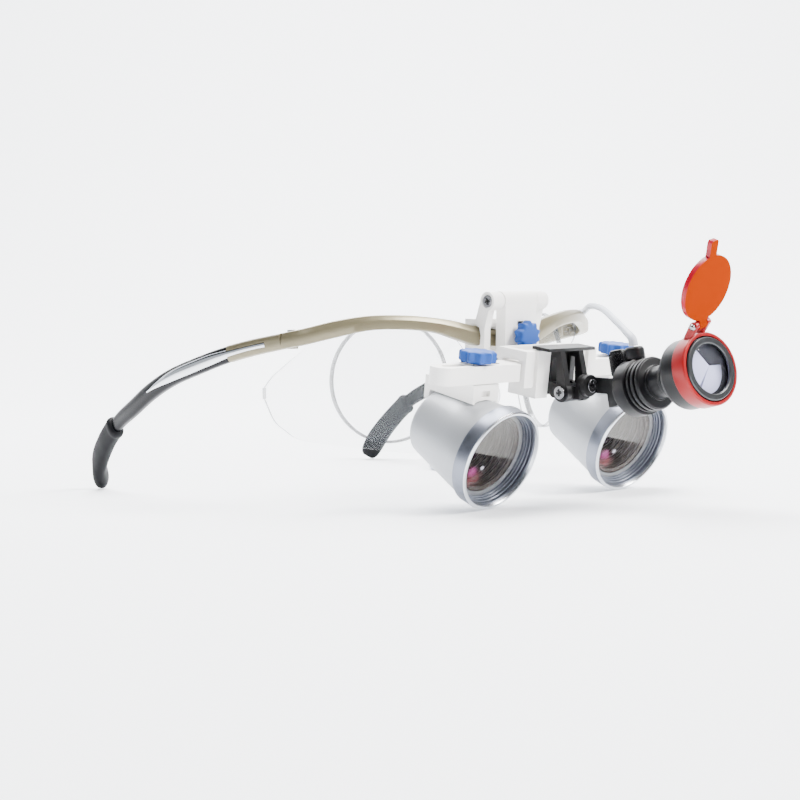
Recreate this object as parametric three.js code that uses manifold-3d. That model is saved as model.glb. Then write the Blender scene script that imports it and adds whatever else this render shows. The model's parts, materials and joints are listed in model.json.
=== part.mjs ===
// Flip-up binocular loupes with a headlight, on a sport spectacle frame.
// Millimetres. +X is the wearer's left, -Y the way the wearer looks, +Z up.
// The assembly stands on the two objective rims and the two ear tips.
import * as THREE from 'three';
import Module from 'manifold-3d';
import { mergeVertices } from 'three/addons/utils/BufferGeometryUtils.js';

const DEG = Math.PI / 180;
const GAP = 0.3; // clearance between neighbouring pieces

// Stance: the flip hinge axis is the origin that everything is drawn from.
const HINGE_HEIGHT = 62.69; // flip axis above the table
const CENTRE_SHIFT = -32.13; // puts the middle of the length on the origin
const LEAN = 3.2; // degrees the front assembly nods when standing
const RAIL_NOD = 6; // degrees the cross rail nods on the flip plate

// Brow line in plan: a wide arc, a tight corner, then the straight temple.
const BROW = { depth: 4.55, radius: 105, turn: 36, corner: 16, heading: 86 };
const BAR_HALF = 1.8; // half thickness of the brow bar
const JOINT_AT = 77; // arc length from the middle to the temple joint
const PIN_INSET = 3.9; // temple pin inboard of the bar's middle
const KNUCKLE = 1.7; // radius of the temple hinge knuckles

// Cross rail and eye spacing
const EYE = 30.7; // half the distance between the optical axes, at the rims
const RAIL = { y0: -18.8, y1: -10.8, z0: -23.5, z1: -18.1, end: 50.4, waist: 17.2 };
const KNOB_X = 32.3;

// Loupe barrel
const BARREL = { pitch: 20.1, converge: 2.9, y: -24.6, z: -46.75, rim: 16.15 };

// White lead: diameter, and the coil that the spare length lies in
const LEAD = 2.2;
const COIL = { x: 61, y: 80, inner: 6.2, outer: 17.8, height: 6.6 };

// Headlight
const LAMP = { x: 2.5, y: -75.2, z: -17.3, pitch: 14.7, yaw: -7.6 };
const FILTER = { open: 144.8, radius: 9.9, thick: 1.6, reach: 1.8, tab: 4.8, roll: 14.8 };
const PIVOT_TILT = { y: -25, z: -26.4 }; // axis along X
const PIVOT_SWIVEL = { x: 1, z: -25.2, face: -31.3 }; // axis along Y

const wasm = await Module();
wasm.setup();

// ---------------------------------------------------------------- finishes
const finish = (color, roughness, metalness, opacity = 1) =>
  new THREE.MeshStandardMaterial({ color, roughness, metalness, opacity, transparent: opacity < 1 });
const champagne = finish(0xb9b29b, 0.32, 0.85);
const white = finish(0xe6e4e1, 0.45, 0);
const blue = finish(0x5082cd, 0.5, 0);
const silver = finish(0xc8cdd4, 0.3, 0.7);
const satin = finish(0xa9afbb, 0.3, 0.9);
const black = finish(0x18181a, 0.4, 0.3);
const steel = finish(0xb8b8b8, 0.25, 1);
const chrome = finish(0xdadce0, 0.08, 1);
const rubber = finish(0x3c3e42, 0.75, 0);
const gloss = finish(0x2a2b30, 0.15, 0);
const clear = finish(0xf2f6f8, 0.05, 0, 0.25);
const glass = finish(0x2a1c28, 0.05, 0, 0.8);
const red = finish(0xdc3c3c, 0.35, 0.4);
const orange = finish(0xff6414, 0.15, 0, 0.85);
const cable = finish(0xe9ebee, 0.5, 0);

// ---------------------------------------------------------------- solids
function solid(geometry) {
  const bare = geometry.clone();
  for (const name of ['normal', 'uv']) bare.deleteAttribute(name);
  const merged = mergeVertices(bare, 1e-4);
  const source = merged.index.array;
  const kept = [];
  for (let i = 0; i < source.length; i += 3) {
    const [a, b, c] = source.slice(i, i + 3);
    if (a !== b && b !== c && a !== c) kept.push(a, b, c);
  }
  const points = merged.attributes.position.array;
  let volume = 0;
  const corner = (i) => new THREE.Vector3().fromArray(points, 3 * i);
  for (let i = 0; i < kept.length; i += 3) {
    volume += corner(kept[i]).dot(corner(kept[i + 1]).cross(corner(kept[i + 2])));
  }
  const triVerts = new Uint32Array(volume < 0 ? kept.reverse() : kept);
  return new wasm.Manifold(new wasm.Mesh({ numProp: 3, vertProperties: points, triVerts }));
}

function geometryOf(manifold) {
  const { vertProperties, triVerts } = manifold.getMesh();
  const geometry = new THREE.BufferGeometry();
  geometry.setAttribute('position', new THREE.BufferAttribute(vertProperties, 3));
  geometry.setIndex(new THREE.BufferAttribute(triVerts, 1));
  return geometry;
}

const join = (...all) => geometryOf(all.map(solid).reduce((sum, next) => sum.add(next)));
const cut = (from, ...tools) =>
  geometryOf(tools.map(solid).reduce((rest, tool) => rest.subtract(tool), solid(from)));

function box([x0, y0, z0], [x1, y1, z1]) {
  return new THREE.BoxGeometry(x1 - x0, y1 - y0, z1 - z0)
    .translate((x0 + x1) / 2, (y0 + y1) / 2, (z0 + z1) / 2);
}

// A round bar along an axis, through the point given by the other two coordinates.
function rod(axis, radius, from, to, [u, v], sides = 24) {
  const bar = new THREE.CylinderGeometry(radius, radius, to - from, sides);
  const middle = (from + to) / 2;
  if (axis === 'x') return bar.rotateZ(90 * DEG).translate(middle, u, v);
  if (axis === 'y') return bar.translate(u, middle, v);
  return bar.rotateX(90 * DEG).translate(u, v, middle);
}

// An outline of [u, v] points pushed along an axis: x takes (y, z), y takes (x, z), z takes (x, y).
function plate(axis, outline, from, to) {
  const shape = outline instanceof THREE.Shape
    ? outline : new THREE.Shape(outline.map(([u, v]) => new THREE.Vector2(u, v)));
  const slab = new THREE.ExtrudeGeometry(shape, { depth: to - from, bevelEnabled: false, curveSegments: 8 });
  if (axis === 'x') return slab.rotateX(90 * DEG).rotateZ(90 * DEG).translate(from, 0, 0);
  if (axis === 'y') return slab.rotateX(90 * DEG).translate(0, to, 0);
  return slab.translate(0, 0, from);
}

// A round tube through points.
function tube(points, radius, steps, sides = 8) {
  const path = new THREE.CatmullRomCurve3(points.map((p) => new THREE.Vector3(...p)));
  const ring = new THREE.Shape().absarc(0, 0, radius, 0, 2 * Math.PI);
  return new THREE.ExtrudeGeometry(ring, { steps, extrudePath: path, curveSegments: sides / 2 });
}

// A profile of [radius, depth] points turned about +Y, with depth running backwards.
function turned(profile, sides = 28) {
  return new THREE.LatheGeometry(profile.map(([r, y]) => new THREE.Vector2(r, y)), sides);
}

// A cross cut into a screw head whose flat lies at `face` and looks along `out` on the axis.
function crossRecess(axis, face, out, [u, v], span = 2.2) {
  const [low, high] = [Math.min(face - out * 0.5, face + out), Math.max(face - out * 0.5, face + out)];
  const w = 0.3;
  const long = span / 2;
  const bars = [[long, w], [w, long]].map(([a, b]) => (axis === 'x'
    ? box([low, u - a, v - b], [high, u + a, v + b])
    : box([u - a, low, v - b], [u + a, high, v + b])));
  return join(...bars);
}

// ---------------------------------------------------------------- curves
// A smooth run of values over sorted [station, value...] rows.
function smooth(rows) {
  return (s) => {
    let i = 0;
    while (i < rows.length - 2 && s > rows[i + 1][0]) i += 1;
    const [a, b] = [rows[i], rows[i + 1]];
    const [before, after] = [rows[Math.max(i - 1, 0)], rows[Math.min(i + 2, rows.length - 1)]];
    const t = THREE.MathUtils.clamp((s - a[0]) / (b[0] - a[0]), 0, 1);
    const width = b[0] - a[0];
    return a.slice(1).map((value, k) => {
      const m0 = ((b[k + 1] - before[k + 1]) / (b[0] - before[0])) * width;
      const m1 = ((after[k + 1] - value) / (after[0] - a[0])) * width;
      const t2 = t * t;
      const t3 = t2 * t;
      return (2 * t3 - 3 * t2 + 1) * value + (t3 - 2 * t2 + t) * m0
        + (3 * t2 - 2 * t3) * b[k + 1] + (t3 - t2) * m1;
    });
  };
}

// The brow line at arc length s from the middle, moved `inset` towards the face.
function browLine(s, inset = 0) {
  const side = Math.sign(s) || 1;
  const run = Math.abs(s);
  const wide = BROW.radius * BROW.turn * DEG;
  const tight = BROW.corner * (BROW.heading - BROW.turn) * DEG;
  const a = Math.min(run, wide) / BROW.radius;
  const b = BROW.turn * DEG + THREE.MathUtils.clamp(run - wide, 0, tight) / BROW.corner;
  const heading = run > wide ? b : a;
  let x = BROW.radius * Math.sin(a);
  let y = BROW.depth + BROW.radius * (1 - Math.cos(a));
  if (run > wide) {
    const rest = Math.max(run - wide - tight, 0);
    x += BROW.corner * (Math.sin(b) - Math.sin(BROW.turn * DEG)) + rest * Math.cos(b);
    y += BROW.corner * (Math.cos(BROW.turn * DEG) - Math.cos(b)) + rest * Math.sin(b);
  }
  return {
    x: side * (x - inset * Math.sin(heading)), y: y + inset * Math.cos(heading), heading: side * heading,
  };
}

// A closed skin through sections: at(u) gives the centre, the two unit axes and the two half sizes.
function lofted(at, steps, sides = 12, power = 2.6) {
  const skin = new THREE.CylinderGeometry(1, 1, 1, sides, steps);
  const spot = new THREE.Vector3();
  const position = skin.attributes.position;
  for (let i = 0; i < position.count; i += 1) {
    spot.fromBufferAttribute(position, i);
    const { centre, across, up, half } = at(spot.y + 0.5);
    const ring = Math.hypot(spot.x, spot.z);
    const angle = Math.atan2(spot.z, spot.x);
    const [c, s] = [Math.cos(angle), Math.sin(angle)];
    const square = ring / (Math.abs(c) ** power + Math.abs(s) ** power) ** (1 / power);
    const out = ring < 1e-6 ? 0 : square;
    spot.copy(centre).addScaledVector(across, c * out * half[0]).addScaledVector(up, s * out * half[1]);
    position.setXYZ(i, spot.x, spot.y, spot.z);
  }
  return skin;
}

// ---------------------------------------------------------------- assembly tree
const loupes = new THREE.Group();
const level = new THREE.Group(); // origin at the flip hinge, parallel to the table
level.position.set(0, CENTRE_SHIFT, HINGE_HEIGHT);
loupes.add(level);
const leaning = new THREE.Group(); // the front assembly
leaning.rotation.x = LEAN * DEG;
level.add(leaning);
const nodding = new THREE.Group(); // carriage, cross rail and lamp bracket
const NOD_PIVOT = [0, -15, -20];
nodding.position.set(...NOD_PIVOT);
nodding.rotation.x = RAIL_NOD * DEG;
leaning.add(nodding);

function add(group, name, geometry, material) {
  const piece = new THREE.Mesh(geometryOf(solid(geometry)), material);
  piece.name = name;
  group.add(piece);
  return piece;
}
// Pieces of the nodding group are drawn in the leaning frame's numbers.
const nod = (geometry) => geometry.translate(...NOD_PIVOT.map((value) => -value));
const SIDES = [['right', -1], ['left', 1]];

// ---------------------------------------------------------------- brow bar and temples' hinges
// Rows: arc length from the middle, height of the bar's middle, half height.
const barShape = smooth([
  [0, -12.4, 2.7], [14, -10.6, 3.1], [21, -8.8, 2.9], [28, -7.1, 2.35], [38, -5.9, 2.25],
  [50, -5.7, 2.3], [61, -7.3, 2.6], [70, -9.2, 2.6], [77, -10.4, 2.5],
]);

function barSkin(grow = 0, from = -JOINT_AT - grow, to = JOINT_AT + grow, steps = 40) {
  return lofted((u) => {
    const s = from + (to - from) * u;
    const { x, y, heading } = browLine(s);
    const [z, half] = barShape(Math.min(Math.abs(s), JOINT_AT));
    return {
      centre: new THREE.Vector3(x, y, z),
      across: new THREE.Vector3(-Math.sin(heading), Math.cos(heading), 0),
      up: new THREE.Vector3(0, 0, 1),
      half: [BAR_HALF + grow, half + grow],
    };
  }, steps, 8);
}

const pin = browLine(JOINT_AT + GAP / 2, PIN_INSET);
const KNUCKLES = { top: [-9.4, -7.9], middle: [-11.1, -9.7], bottom: [-12.9, -11.4] };

// A knuckle round the temple pin with a web back to the piece that carries it.
function hingeKnuckle(side, [z0, z1], from, to) {
  const web = [[from, 1.2], [to, 1.2], [to, PIN_INSET], [from, PIN_INSET]].map(([along, inset]) => {
    const { x, y } = browLine(side * (JOINT_AT + along), inset);
    return [x, y];
  });
  const at = [side * pin.x, pin.y];
  return join(rod('z', KNUCKLE, z0, z1, at, 16), plate('z', web, z0, z1));
}

function pinHole(side) {
  return rod('z', 0.95, -14, -6, [side * pin.x, pin.y], 16);
}

const barKnuckles = SIDES.flatMap(([, side]) => [KNUCKLES.top, KNUCKLES.bottom]
  .map((span) => hingeKnuckle(side, span, -3, -0.1)));
add(level, 'brow_bar', cut(join(barSkin(), ...barKnuckles), pinHole(1), pinHole(-1)), champagne);

// The temple's middle line, outboard side given for the wearer's left.
const templeLine = new THREE.CatmullRomCurve3([
  [67.9, 33.8, -10.45], [70.2, 46, -12.3], [71.9, 58, -14.6], [72.9, 72, -18], [73, 87, -22],
  [72.4, 100, -26.8], [71.3, 112, -32.3], [69.9, 124.5, -38], [69, 134.5, -45.4], [67.3, 142, -53.4],
  [64, 145.5, -61.57],
].map((p) => new THREE.Vector3(...p)));

// Stretch of the temple from one share of its line to another; size(u) gives
// half thickness, half height and the outboard offset.
function templeSkin(side, from, to, size, steps, sides = 12, power = 2.6) {
  const up = new THREE.Vector3(0, 0, 1);
  return lofted((v) => {
    const u = from + (to - from) * v;
    const centre = templeLine.getPoint(u);
    const along = templeLine.getTangent(u);
    const across = new THREE.Vector3().crossVectors(along, up).normalize();
    const rise = new THREE.Vector3().crossVectors(across, along);
    const [thick, high, out] = size(v);
    centre.addScaledVector(across, out);
    for (const vector of [centre, across, rise]) vector.x *= side;
    return { centre, across, up: rise, half: [thick, high] };
  }, steps, sides, power);
}

for (const [name, side] of SIDES) {
  const end = templeSkin(side, 0.004, 0.182, smooth([
    [0, 1.8, 2.5, 0], [0.5, 1.9, 2.6, 0], [1, 1.9, 2.7, 0],
  ]), 8, 10);
  const inlay = (grow) => templeSkin(side, 0.05 - grow / 400, 0.5 + grow / 200, smooth([
    [0, 0.5 + grow, 1.15 + grow, 1.45], [0.3, 0.5 + grow, 1.3 + grow, 1.45],
    [0.45, 0.5 + grow, 1.75 + grow, 1.4], [0.75, 0.5 + grow, 1.7 + grow, 1.4], [1, 0.45 + grow, 0.5 + grow, 1.35],
  ]), 14, 8, 3);
  const tang = templeSkin(side, 0.13, 0.195, () => [0.9, 1.15, -0.55], 4, 10);
  const arm = (grow) => templeSkin(side, 0.188, 0.82 + grow / 100, smooth([
    [0, 1.65 + grow, 2.6 + grow, 0], [0.2, 1.75 + grow, 2.85 + grow, 0],
    [0.7, 1.7 + grow, 2.9 + grow, 0], [1, 1.4 + grow, 2.2 + grow, 0],
  ]), 18, 10);
  const knuckle = hingeKnuckle(side, KNUCKLES.middle, 0.3, 3.2);
  const forkEnd = templeSkin(side, 0.125, 0.24, () => [4, 1.5, 0], 6, 8, 6);
  add(level, `temple_end_${name}`, cut(join(end, knuckle), pinHole(side), forkEnd, inlay(GAP)), champagne);
  add(level, `temple_inlay_${name}`, inlay(0), chrome);
  add(level, `temple_arm_${name}`, cut(join(arm(0), tang), inlay(GAP)), gloss);
  const sleeve = templeSkin(side, 0.715, 1, smooth([
    [0, 2.6, 3.7, 0], [0.06, 2.7, 3.9, 0], [0.3, 2.6, 3.9, 0], [0.7, 2.6, 4.1, 0], [0.94, 2.3, 3.6, 0],
    [1, 1.3, 2.2, 0],
  ]), 14, 10);
  add(level, `ear_sleeve_${name}`, cut(sleeve, arm(GAP)), rubber);
  const head = rod('z', 1.3, KNUCKLES.top[1] + GAP, KNUCKLES.top[1] + 0.9, [side * pin.x, pin.y], 16);
  const shank = rod('z', 0.65, KNUCKLES.bottom[0], KNUCKLES.top[1] + 0.5, [side * pin.x, pin.y], 12);
  add(level, `temple_screw_${name}`, join(shank, head), steel);
}

// ---------------------------------------------------------------- clear shields, insert, nose rests
const SHIELD_INSET = BAR_HALF + GAP + 0.9; // middle of the shield behind the bar's middle
const shieldTop = smooth([
  [9, -23.5], [13, -20], [16.5, -14], [21, -10.2], [30, -7.7], [40, -6.6], [50, -6.4], [61, -8.4], [68, -10.5],
  [72.5, -14], [80, -18], [86, -21.6], [90, -25],
]);
const shieldFoot = smooth([
  [9, -30], [11, -37], [14, -43], [19, -46], [29, -46.9], [40, -46.2], [55, -43.9], [68, -41.9],
  [76, -40.4], [81, -38.2], [86, -35], [90, -28.5],
]);

function shield(side) {
  const sheet = new THREE.BoxGeometry(1, 1, 1, 30, 1, 4);
  const position = sheet.attributes.position;
  for (let i = 0; i < position.count; i += 1) {
    const share = 0.5 - 0.5 * Math.cos(Math.PI * (position.getX(i) + 0.5));
    const s = 9 + 81 * share;
    const { x, y } = browLine(side * s, SHIELD_INSET + 1.6 * position.getY(i));
    const [top] = shieldTop(s);
    const [foot] = shieldFoot(s);
    position.setXYZ(i, x, y, foot + (top - foot) * (position.getZ(i) + 0.5));
  }
  return sheet;
}

const INSERT = { s: 40.5, inset: 9, z: -24, radius: 19.8 };
function insertEye(side) {
  const { x, y, heading } = browLine(side * INSERT.s, INSERT.inset);
  const r = INSERT.radius;
  return turned([[0, 0], [r - 1.4, 0], [r - 1.4, -0.5], [r, -0.5], [r, 1.7], [r - 1.4, 1.7], [r - 1.4, 1.2], [0, 1.2]], 28)
    .rotateZ(heading).translate(x, y, INSERT.z);
}
const insertBridge = lofted((u) => ({
  centre: new THREE.Vector3(40.4 * (u - 0.5), 14.8, -17 + 8 * Math.cos(Math.PI * (u - 0.5))),
  across: new THREE.Vector3(0, 1, 0),
  up: new THREE.Vector3(0, 0, 1),
  half: [0.9, 1.1],
}), 14, 8);
const padSpot = { x: 9, y: 21, z: -29 };

for (const [name, side] of SIDES) {
  add(level, `shield_${name}`, shield(side), clear);
  const pad = lofted((u) => {
    const t = 2 * u - 1;
    const swell = Math.sqrt(Math.max(1 - t * t, 0.04));
    return {
      centre: new THREE.Vector3(side * (padSpot.x + 2.2 * t * -1), padSpot.y + 0.8 * t * t, padSpot.z + 6.5 * t),
      across: new THREE.Vector3(side * 0.75, 0.66, 0),
      up: new THREE.Vector3(-side * 0.66, 0.75, 0),
      half: [1.2 * swell, 3.4 * swell],
    };
  }, 10, 12, 2);
  add(level, `nose_pad_${name}`, pad, clear);
}
add(level, 'rx_insert', join(insertEye(1), insertEye(-1), insertBridge), clear);

// ---------------------------------------------------------------- bridge clamp and flip hinge
const AXLE = 1.15;
const CLAMP = { in: 7.8, out: 12.8, leg: 10.1 };
function clampSolid() {
  const parts = [box([-CLAMP.out, 2.2, -8.2], [CLAMP.out, 9.6, -5.8])];
  for (const [, side] of SIDES) {
    const [x0, x1] = side > 0 ? [CLAMP.leg, CLAMP.out] : [-CLAMP.out, -CLAMP.leg];
    const [k0, k1] = side > 0 ? [CLAMP.in, CLAMP.out] : [-CLAMP.out, -CLAMP.in];
    parts.push(rod('x', 3, k0, k1, [0, 0], 24));
    parts.push(plate('x', [[-1.4, 1], [2.6, 1], [5, -6], [9.6, -6], [9.6, -18], [1, -18], [1, -9], [-0.4, -4]], x0, x1));
  }
  parts.push(box([-CLAMP.out, 7.6, -18], [CLAMP.out, 9.6, -6.5]));
  return join(...parts).rotateX(LEAN * DEG);
}
const axleBore = rod('x', AXLE + 0.25, -20, 20, [0, 0], 20);
const headBore = [rod('x', 2.2, 12, 14, [0, 0], 20), rod('x', 2.2, -14, -12, [0, 0], 20)];
const wireFeet = SIDES.map(([, side]) => rod('y', 0.95, 8, 14, [side * 5.5, -13.5], 12));
add(level, 'bridge_clamp', cut(clampSolid(), barSkin(GAP), axleBore, ...headBore, ...wireFeet), white);
add(leaning, 'flip_axle', cut(
  join(rod('x', AXLE, -12.5, 12.5, [0, 0], 16), rod('x', 1.9, 12.1, 12.75, [0, 0], 20), rod('x', 1.9, -12.75, -12.1, [0, 0], 20)),
  crossRecess('x', 12.75, 1, [0, 0]), crossRecess('x', -12.75, -1, [0, 0]),
), steel);

for (const [name, side] of SIDES) {
  const bend = [
    [5.5, 8.3, -13.5], [5.5, 11.5, -13.6], [6.4, 13.8, -16], [7.6, 14.8, -20], [8.4, 16, -24.5], [8.8, 18.3, -27.5],
  ].map(([x, y, z]) => [side * x, y, z]);
  add(level, `nose_wire_${name}`, tube(bend, 0.6, 14), steel);
}

// Flip plate: a barrel on the axle and a sleeve that the carriage's tongue slides in.
const PLATE = { half: 7.2, front: -2.8, back: 1.3, foot: -18 };
const flipPlate = cut(
  join(rod('x', 3.1, -7.5, 7.5, [0, 0], 28), box([-PLATE.half, PLATE.front, PLATE.foot], [PLATE.half, PLATE.back, 0.5])),
  rod('x', AXLE + 0.25, -20, 20, [0, 0], 20),
  box([-5.6, -1.4, PLATE.foot - 1], [5.6, 0.5, -4.5]),
  box([-1.7, -4, -15.6], [1.7, -1, -6.4]),
);
add(leaning, 'flip_plate', flipPlate, white);

// ---------------------------------------------------------------- carriage and cross rail
const tongue = box([-5.25, -1.1, -22.5], [5.25, 0.2, -8]);
const shelf = box([-8, -10.4, -24.8], [8, 0.9, -21.8]);
const tongueHole = rod('y', 1.3, -2, 2, [0, -11], 16);
const FRONT = { x: 16.3, y0: -20, y1: -17, top: -14.2, ribFoot: -25.5, slotFoot: -29 };
function carriageShape() {
  const { x, y0, y1, top, ribFoot, slotFoot } = FRONT;
  const arms = SIDES.map(([, side]) => {
    const [x0, x1] = side > 0 ? [x - 3, x] : [-x, -x + 3];
    return box([x0, y1 - 0.5, top - 3.2], [x1, -8.4, top]);
  });
  const backWall = box([-x, -10.3, -24.8], [x, -8.2, top]);
  const wall = plate('y', [
    [-x, top], [x, top], [x, ribFoot], [10.8, ribFoot], [10.8, slotFoot], [-10.8, slotFoot], [-10.8, ribFoot], [-x, ribFoot],
  ], y0, y1);
  const grooves = SIDES.map(([, side]) => {
    const [x0, x1] = side > 0 ? [10.8, 12.6] : [-12.6, -10.8];
    return box([x0, y0 - 1, slotFoot - 1], [x1, y0 + 1.2, top + 1]);
  });
  const slot = box([-5.3, y0 - 1, slotFoot - 1], [5.3, y1 + 1, top + 1]);
  const cheeks = box([-10.8, y1 - 0.2, slotFoot], [10.8, -8.4, RAIL.z0 - GAP - 0.2]);
  return cut(join(...arms, backWall, wall, cheeks), ...grooves, slot);
}
const toLeaning = (geometry) => geometry
  .translate(...NOD_PIVOT.map((value) => -value)).rotateX(RAIL_NOD * DEG).translate(...NOD_PIVOT);
const carriage = join(toLeaning(carriageShape()), shelf, cut(tongue, tongueHole));
const railGap = toLeaning(box([-60, -16.6 - GAP, RAIL.z0 - GAP], [60, -11.2 + GAP, RAIL.z1 + GAP]));
add(leaning, 'carriage', cut(carriage, railGap), white);

function railPlan() {
  const { y0, y1, end, waist } = RAIL;
  const r = (y1 - y0) / 2;
  const shape = new THREE.Shape();
  shape.moveTo(waist, -16.6).lineTo(waist, y0).lineTo(end - r, y0);
  shape.absarc(end - r, (y0 + y1) / 2, r, -90 * DEG, 90 * DEG, false);
  shape.lineTo(waist, y1).lineTo(waist, -11.2).lineTo(-waist, -11.2).lineTo(-waist, y1).lineTo(-end + r, y1);
  shape.absarc(-end + r, (y0 + y1) / 2, r, 90 * DEG, 270 * DEG, false);
  shape.lineTo(-waist, y0).lineTo(-waist, -16.6).closePath();
  for (const [, side] of SIDES) {
    const hole = new THREE.Path();
    const [a, b] = [Math.min(side * 25, side * 45), Math.max(side * 25, side * 45)];
    hole.absarc(b, (y0 + y1) / 2, 1.75, -90 * DEG, 90 * DEG, false);
    hole.absarc(a, (y0 + y1) / 2, 1.75, 90 * DEG, 270 * DEG, false);
    hole.closePath();
    shape.holes.push(hole);
  }
  return shape;
}
add(nodding, 'cross_rail', nod(plate('z', railPlan(), RAIL.z0, RAIL.z1)), white);

// ---------------------------------------------------------------- thumb knobs
function lobed(radius, lobes = 10, depth = 0.55) {
  const outline = [];
  for (let i = 0; i < 4 * lobes; i += 1) {
    const a = (i / (4 * lobes)) * 2 * Math.PI;
    const r = radius - depth * (0.5 + 0.5 * Math.cos(lobes * a));
    outline.push([r * Math.cos(a), r * Math.sin(a)]);
  }
  return outline;
}
const centreKnob = join(
  plate('y', lobed(4.9, 8), -7.2, -3.9), rod('y', 2.6, -4, -3.1, [0, 0], 20),
).translate(0, 0, -11);
add(leaning, 'knob_centre', cut(centreKnob, rod('y', 1.3, -6.2, 0, [0, -11], 16)), blue);
add(leaning, 'stud_centre', rod('y', 1, -5.9, 0.2, [0, -11], 16), steel);

const railMiddle = (RAIL.y0 + RAIL.y1) / 2;
for (const [name, side] of SIDES) {
  const at = [side * KNOB_X, railMiddle];
  const knob = join(
    plate('z', lobed(5.8), RAIL.z1 + 0.7, RAIL.z1 + 4.2).translate(at[0], at[1], 0),
    rod('z', 3.4, RAIL.z1 + GAP, RAIL.z1 + 0.9, at, 20),
  );
  add(nodding, `knob_${name}`, nod(cut(knob, rod('z', 1.5, RAIL.z1 - 1, RAIL.z1 + 3, at, 16))), blue);
  add(nodding, `stud_${name}`, nod(rod('z', 1.2, RAIL.z0 - 3.2, RAIL.z1 + 2.7, at, 16)), steel);
}

// ---------------------------------------------------------------- loupes
const { rim } = BARREL;
const rimProfile = [[13.6, 5], [13.6, 2.2], [14.6, 0.4], [15, 0], [15.7, 0], [rim, 0.5], [rim, 5], [13.6, 5]];
const barrelProfile = [
  [12.6, 5.3], [15.5, 5.3], [11.3, 28], [10.3, 29.8], [8.6, 29.8], [8.6, 27.6], [9.4, 27.6], [9.4, 23], [12.6, 8],
  [12.6, 5.3],
];
const objectiveProfile = [[0, 1.7], [7, 2.2], [13.3, 3.6], [13.3, 4.9], [12.2, 4.9], [12.2, 5.4], [0, 6]];
const eyepieceProfile = [[0, 27.3], [9.1, 27.3], [9.1, 25.4], [0, 24.4]];

for (const [name, side] of SIDES) {
  const loupe = new THREE.Group();
  loupe.position.set(side * EYE, BARREL.y, BARREL.z);
  loupe.rotation.set(BARREL.pitch * DEG, 0, -side * BARREL.converge * DEG, 'ZXY');
  leaning.add(loupe);
  loupe.updateMatrix();
  const barrelEnvelope = turned([[0, 4.6], [rim + GAP, 4.6], [rim + GAP, 5.3], [15.5 + GAP, 5.3], [11.3 + GAP, 28.2],
    [11.2, 31], [0, 31]], 28).applyMatrix4(loupe.matrix);
  add(loupe, `objective_ring_${name}`, turned(rimProfile, 36), satin);
  add(loupe, `barrel_${name}`, turned(barrelProfile), silver);
  add(loupe, `objective_${name}`, turned(objectiveProfile, 28), glass);
  add(loupe, `eyepiece_${name}`, turned(eyepieceProfile, 24), glass);
  const x = side * KNOB_X - side * 1.2;
  const top = RAIL.z0 - GAP;
  const keel = toLeaning(plate('x', [[-18.4, top], [2.5, top], [2.5, -31], [-24.5, -33], [-24.5, -32.6], [-18.4, -29.2]], x - 5.4, x + 5.4));
  const studHole = toLeaning(rod('z', 1.5, -29, -22, [side * KNOB_X, railMiddle], 16));
  const window = toLeaning(box([x - 1.8, -20, -27.6], [x + 1.8, -15.4 - 1.6, -25.8]));
  add(leaning, `saddle_${name}`, cut(keel, barrelEnvelope, studHole, window), white);
}

// ---------------------------------------------------------------- lamp bracket and link
const bracketTop = FRONT.top + GAP;
const bracketShape = join(
  box([-10.7, -24, bracketTop], [10.7, -16.9, bracketTop + 1]),
  box([-5, -20.2, -27.8], [5, -17.1, bracketTop + 0.4]),
  ...[[-5.4, -3.2], [3.2, 5.4]].map(([x0, x1]) => plate('x', [
    [-23.6, bracketTop + 0.4], [-20.1, bracketTop + 0.4], [-20.1, -27], [-22, -28.5], [-26.4, -28.5], [-27.6, -24.6],
  ], x0, x1)),
  ...[[-5.4, -3.2], [3.2, 5.4]].map(([x0, x1]) => rod('x', 3, x0, x1, [PIVOT_TILT.y - 0.6, PIVOT_TILT.z], 24)),
);
const tiltAt = [PIVOT_TILT.y - 0.6, PIVOT_TILT.z];
const bracket = toLeaning(bracketShape);
const tiltSpot = new THREE.Vector3(0, tiltAt[0], tiltAt[1]).sub(new THREE.Vector3(...NOD_PIVOT))
  .applyAxisAngle(new THREE.Vector3(1, 0, 0), RAIL_NOD * DEG).add(new THREE.Vector3(...NOD_PIVOT));
const tilt = [tiltSpot.y, tiltSpot.z];
const webWindow = toLeaning(plate('x', [[-22.4, -16], [-20.9, -16], [-20.9, -23.6], [-23.4, -24.2]], -8, 8));
add(leaning, 'lamp_bracket', cut(bracket, rod('x', 1.45, -8, 8, tilt, 20), webWindow), black);
add(leaning, 'tilt_screw', cut(
  join(rod('x', 1.15, -5.8, 5.2, tilt, 16), rod('x', 2, -6.4, -5.7, tilt, 20)),
  crossRecess('x', -6.4, -1, tilt),
), steel);

const { x: swivelX, z: swivelZ, face } = PIVOT_SWIVEL;
const link = join(
  rod('x', 2.8, -2.8, 2.8, tilt, 24),
  box([-2.2, face + 1.9, tilt[1] - 1.9], [2.9, tilt[0] - 1, tilt[1] + 1.9]),
  rod('y', 3.3, face + 1.9, face + 3.2, [swivelX, swivelZ], 24),
);
add(leaning, 'lamp_link', cut(link, rod('x', 1.45, -8, 8, tilt, 20), rod('y', 1.35, face - 1, face + 5, [swivelX, swivelZ], 16)), black);

// ---------------------------------------------------------------- headlight
const lamp = new THREE.Group();
lamp.position.set(LAMP.x, LAMP.y, LAMP.z);
lamp.rotation.set(-LAMP.pitch * DEG, 0, LAMP.yaw * DEG, 'ZXY');
leaning.add(lamp);
lamp.updateMatrix();
const toLampFrame = lamp.matrix.clone().invert();

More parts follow.
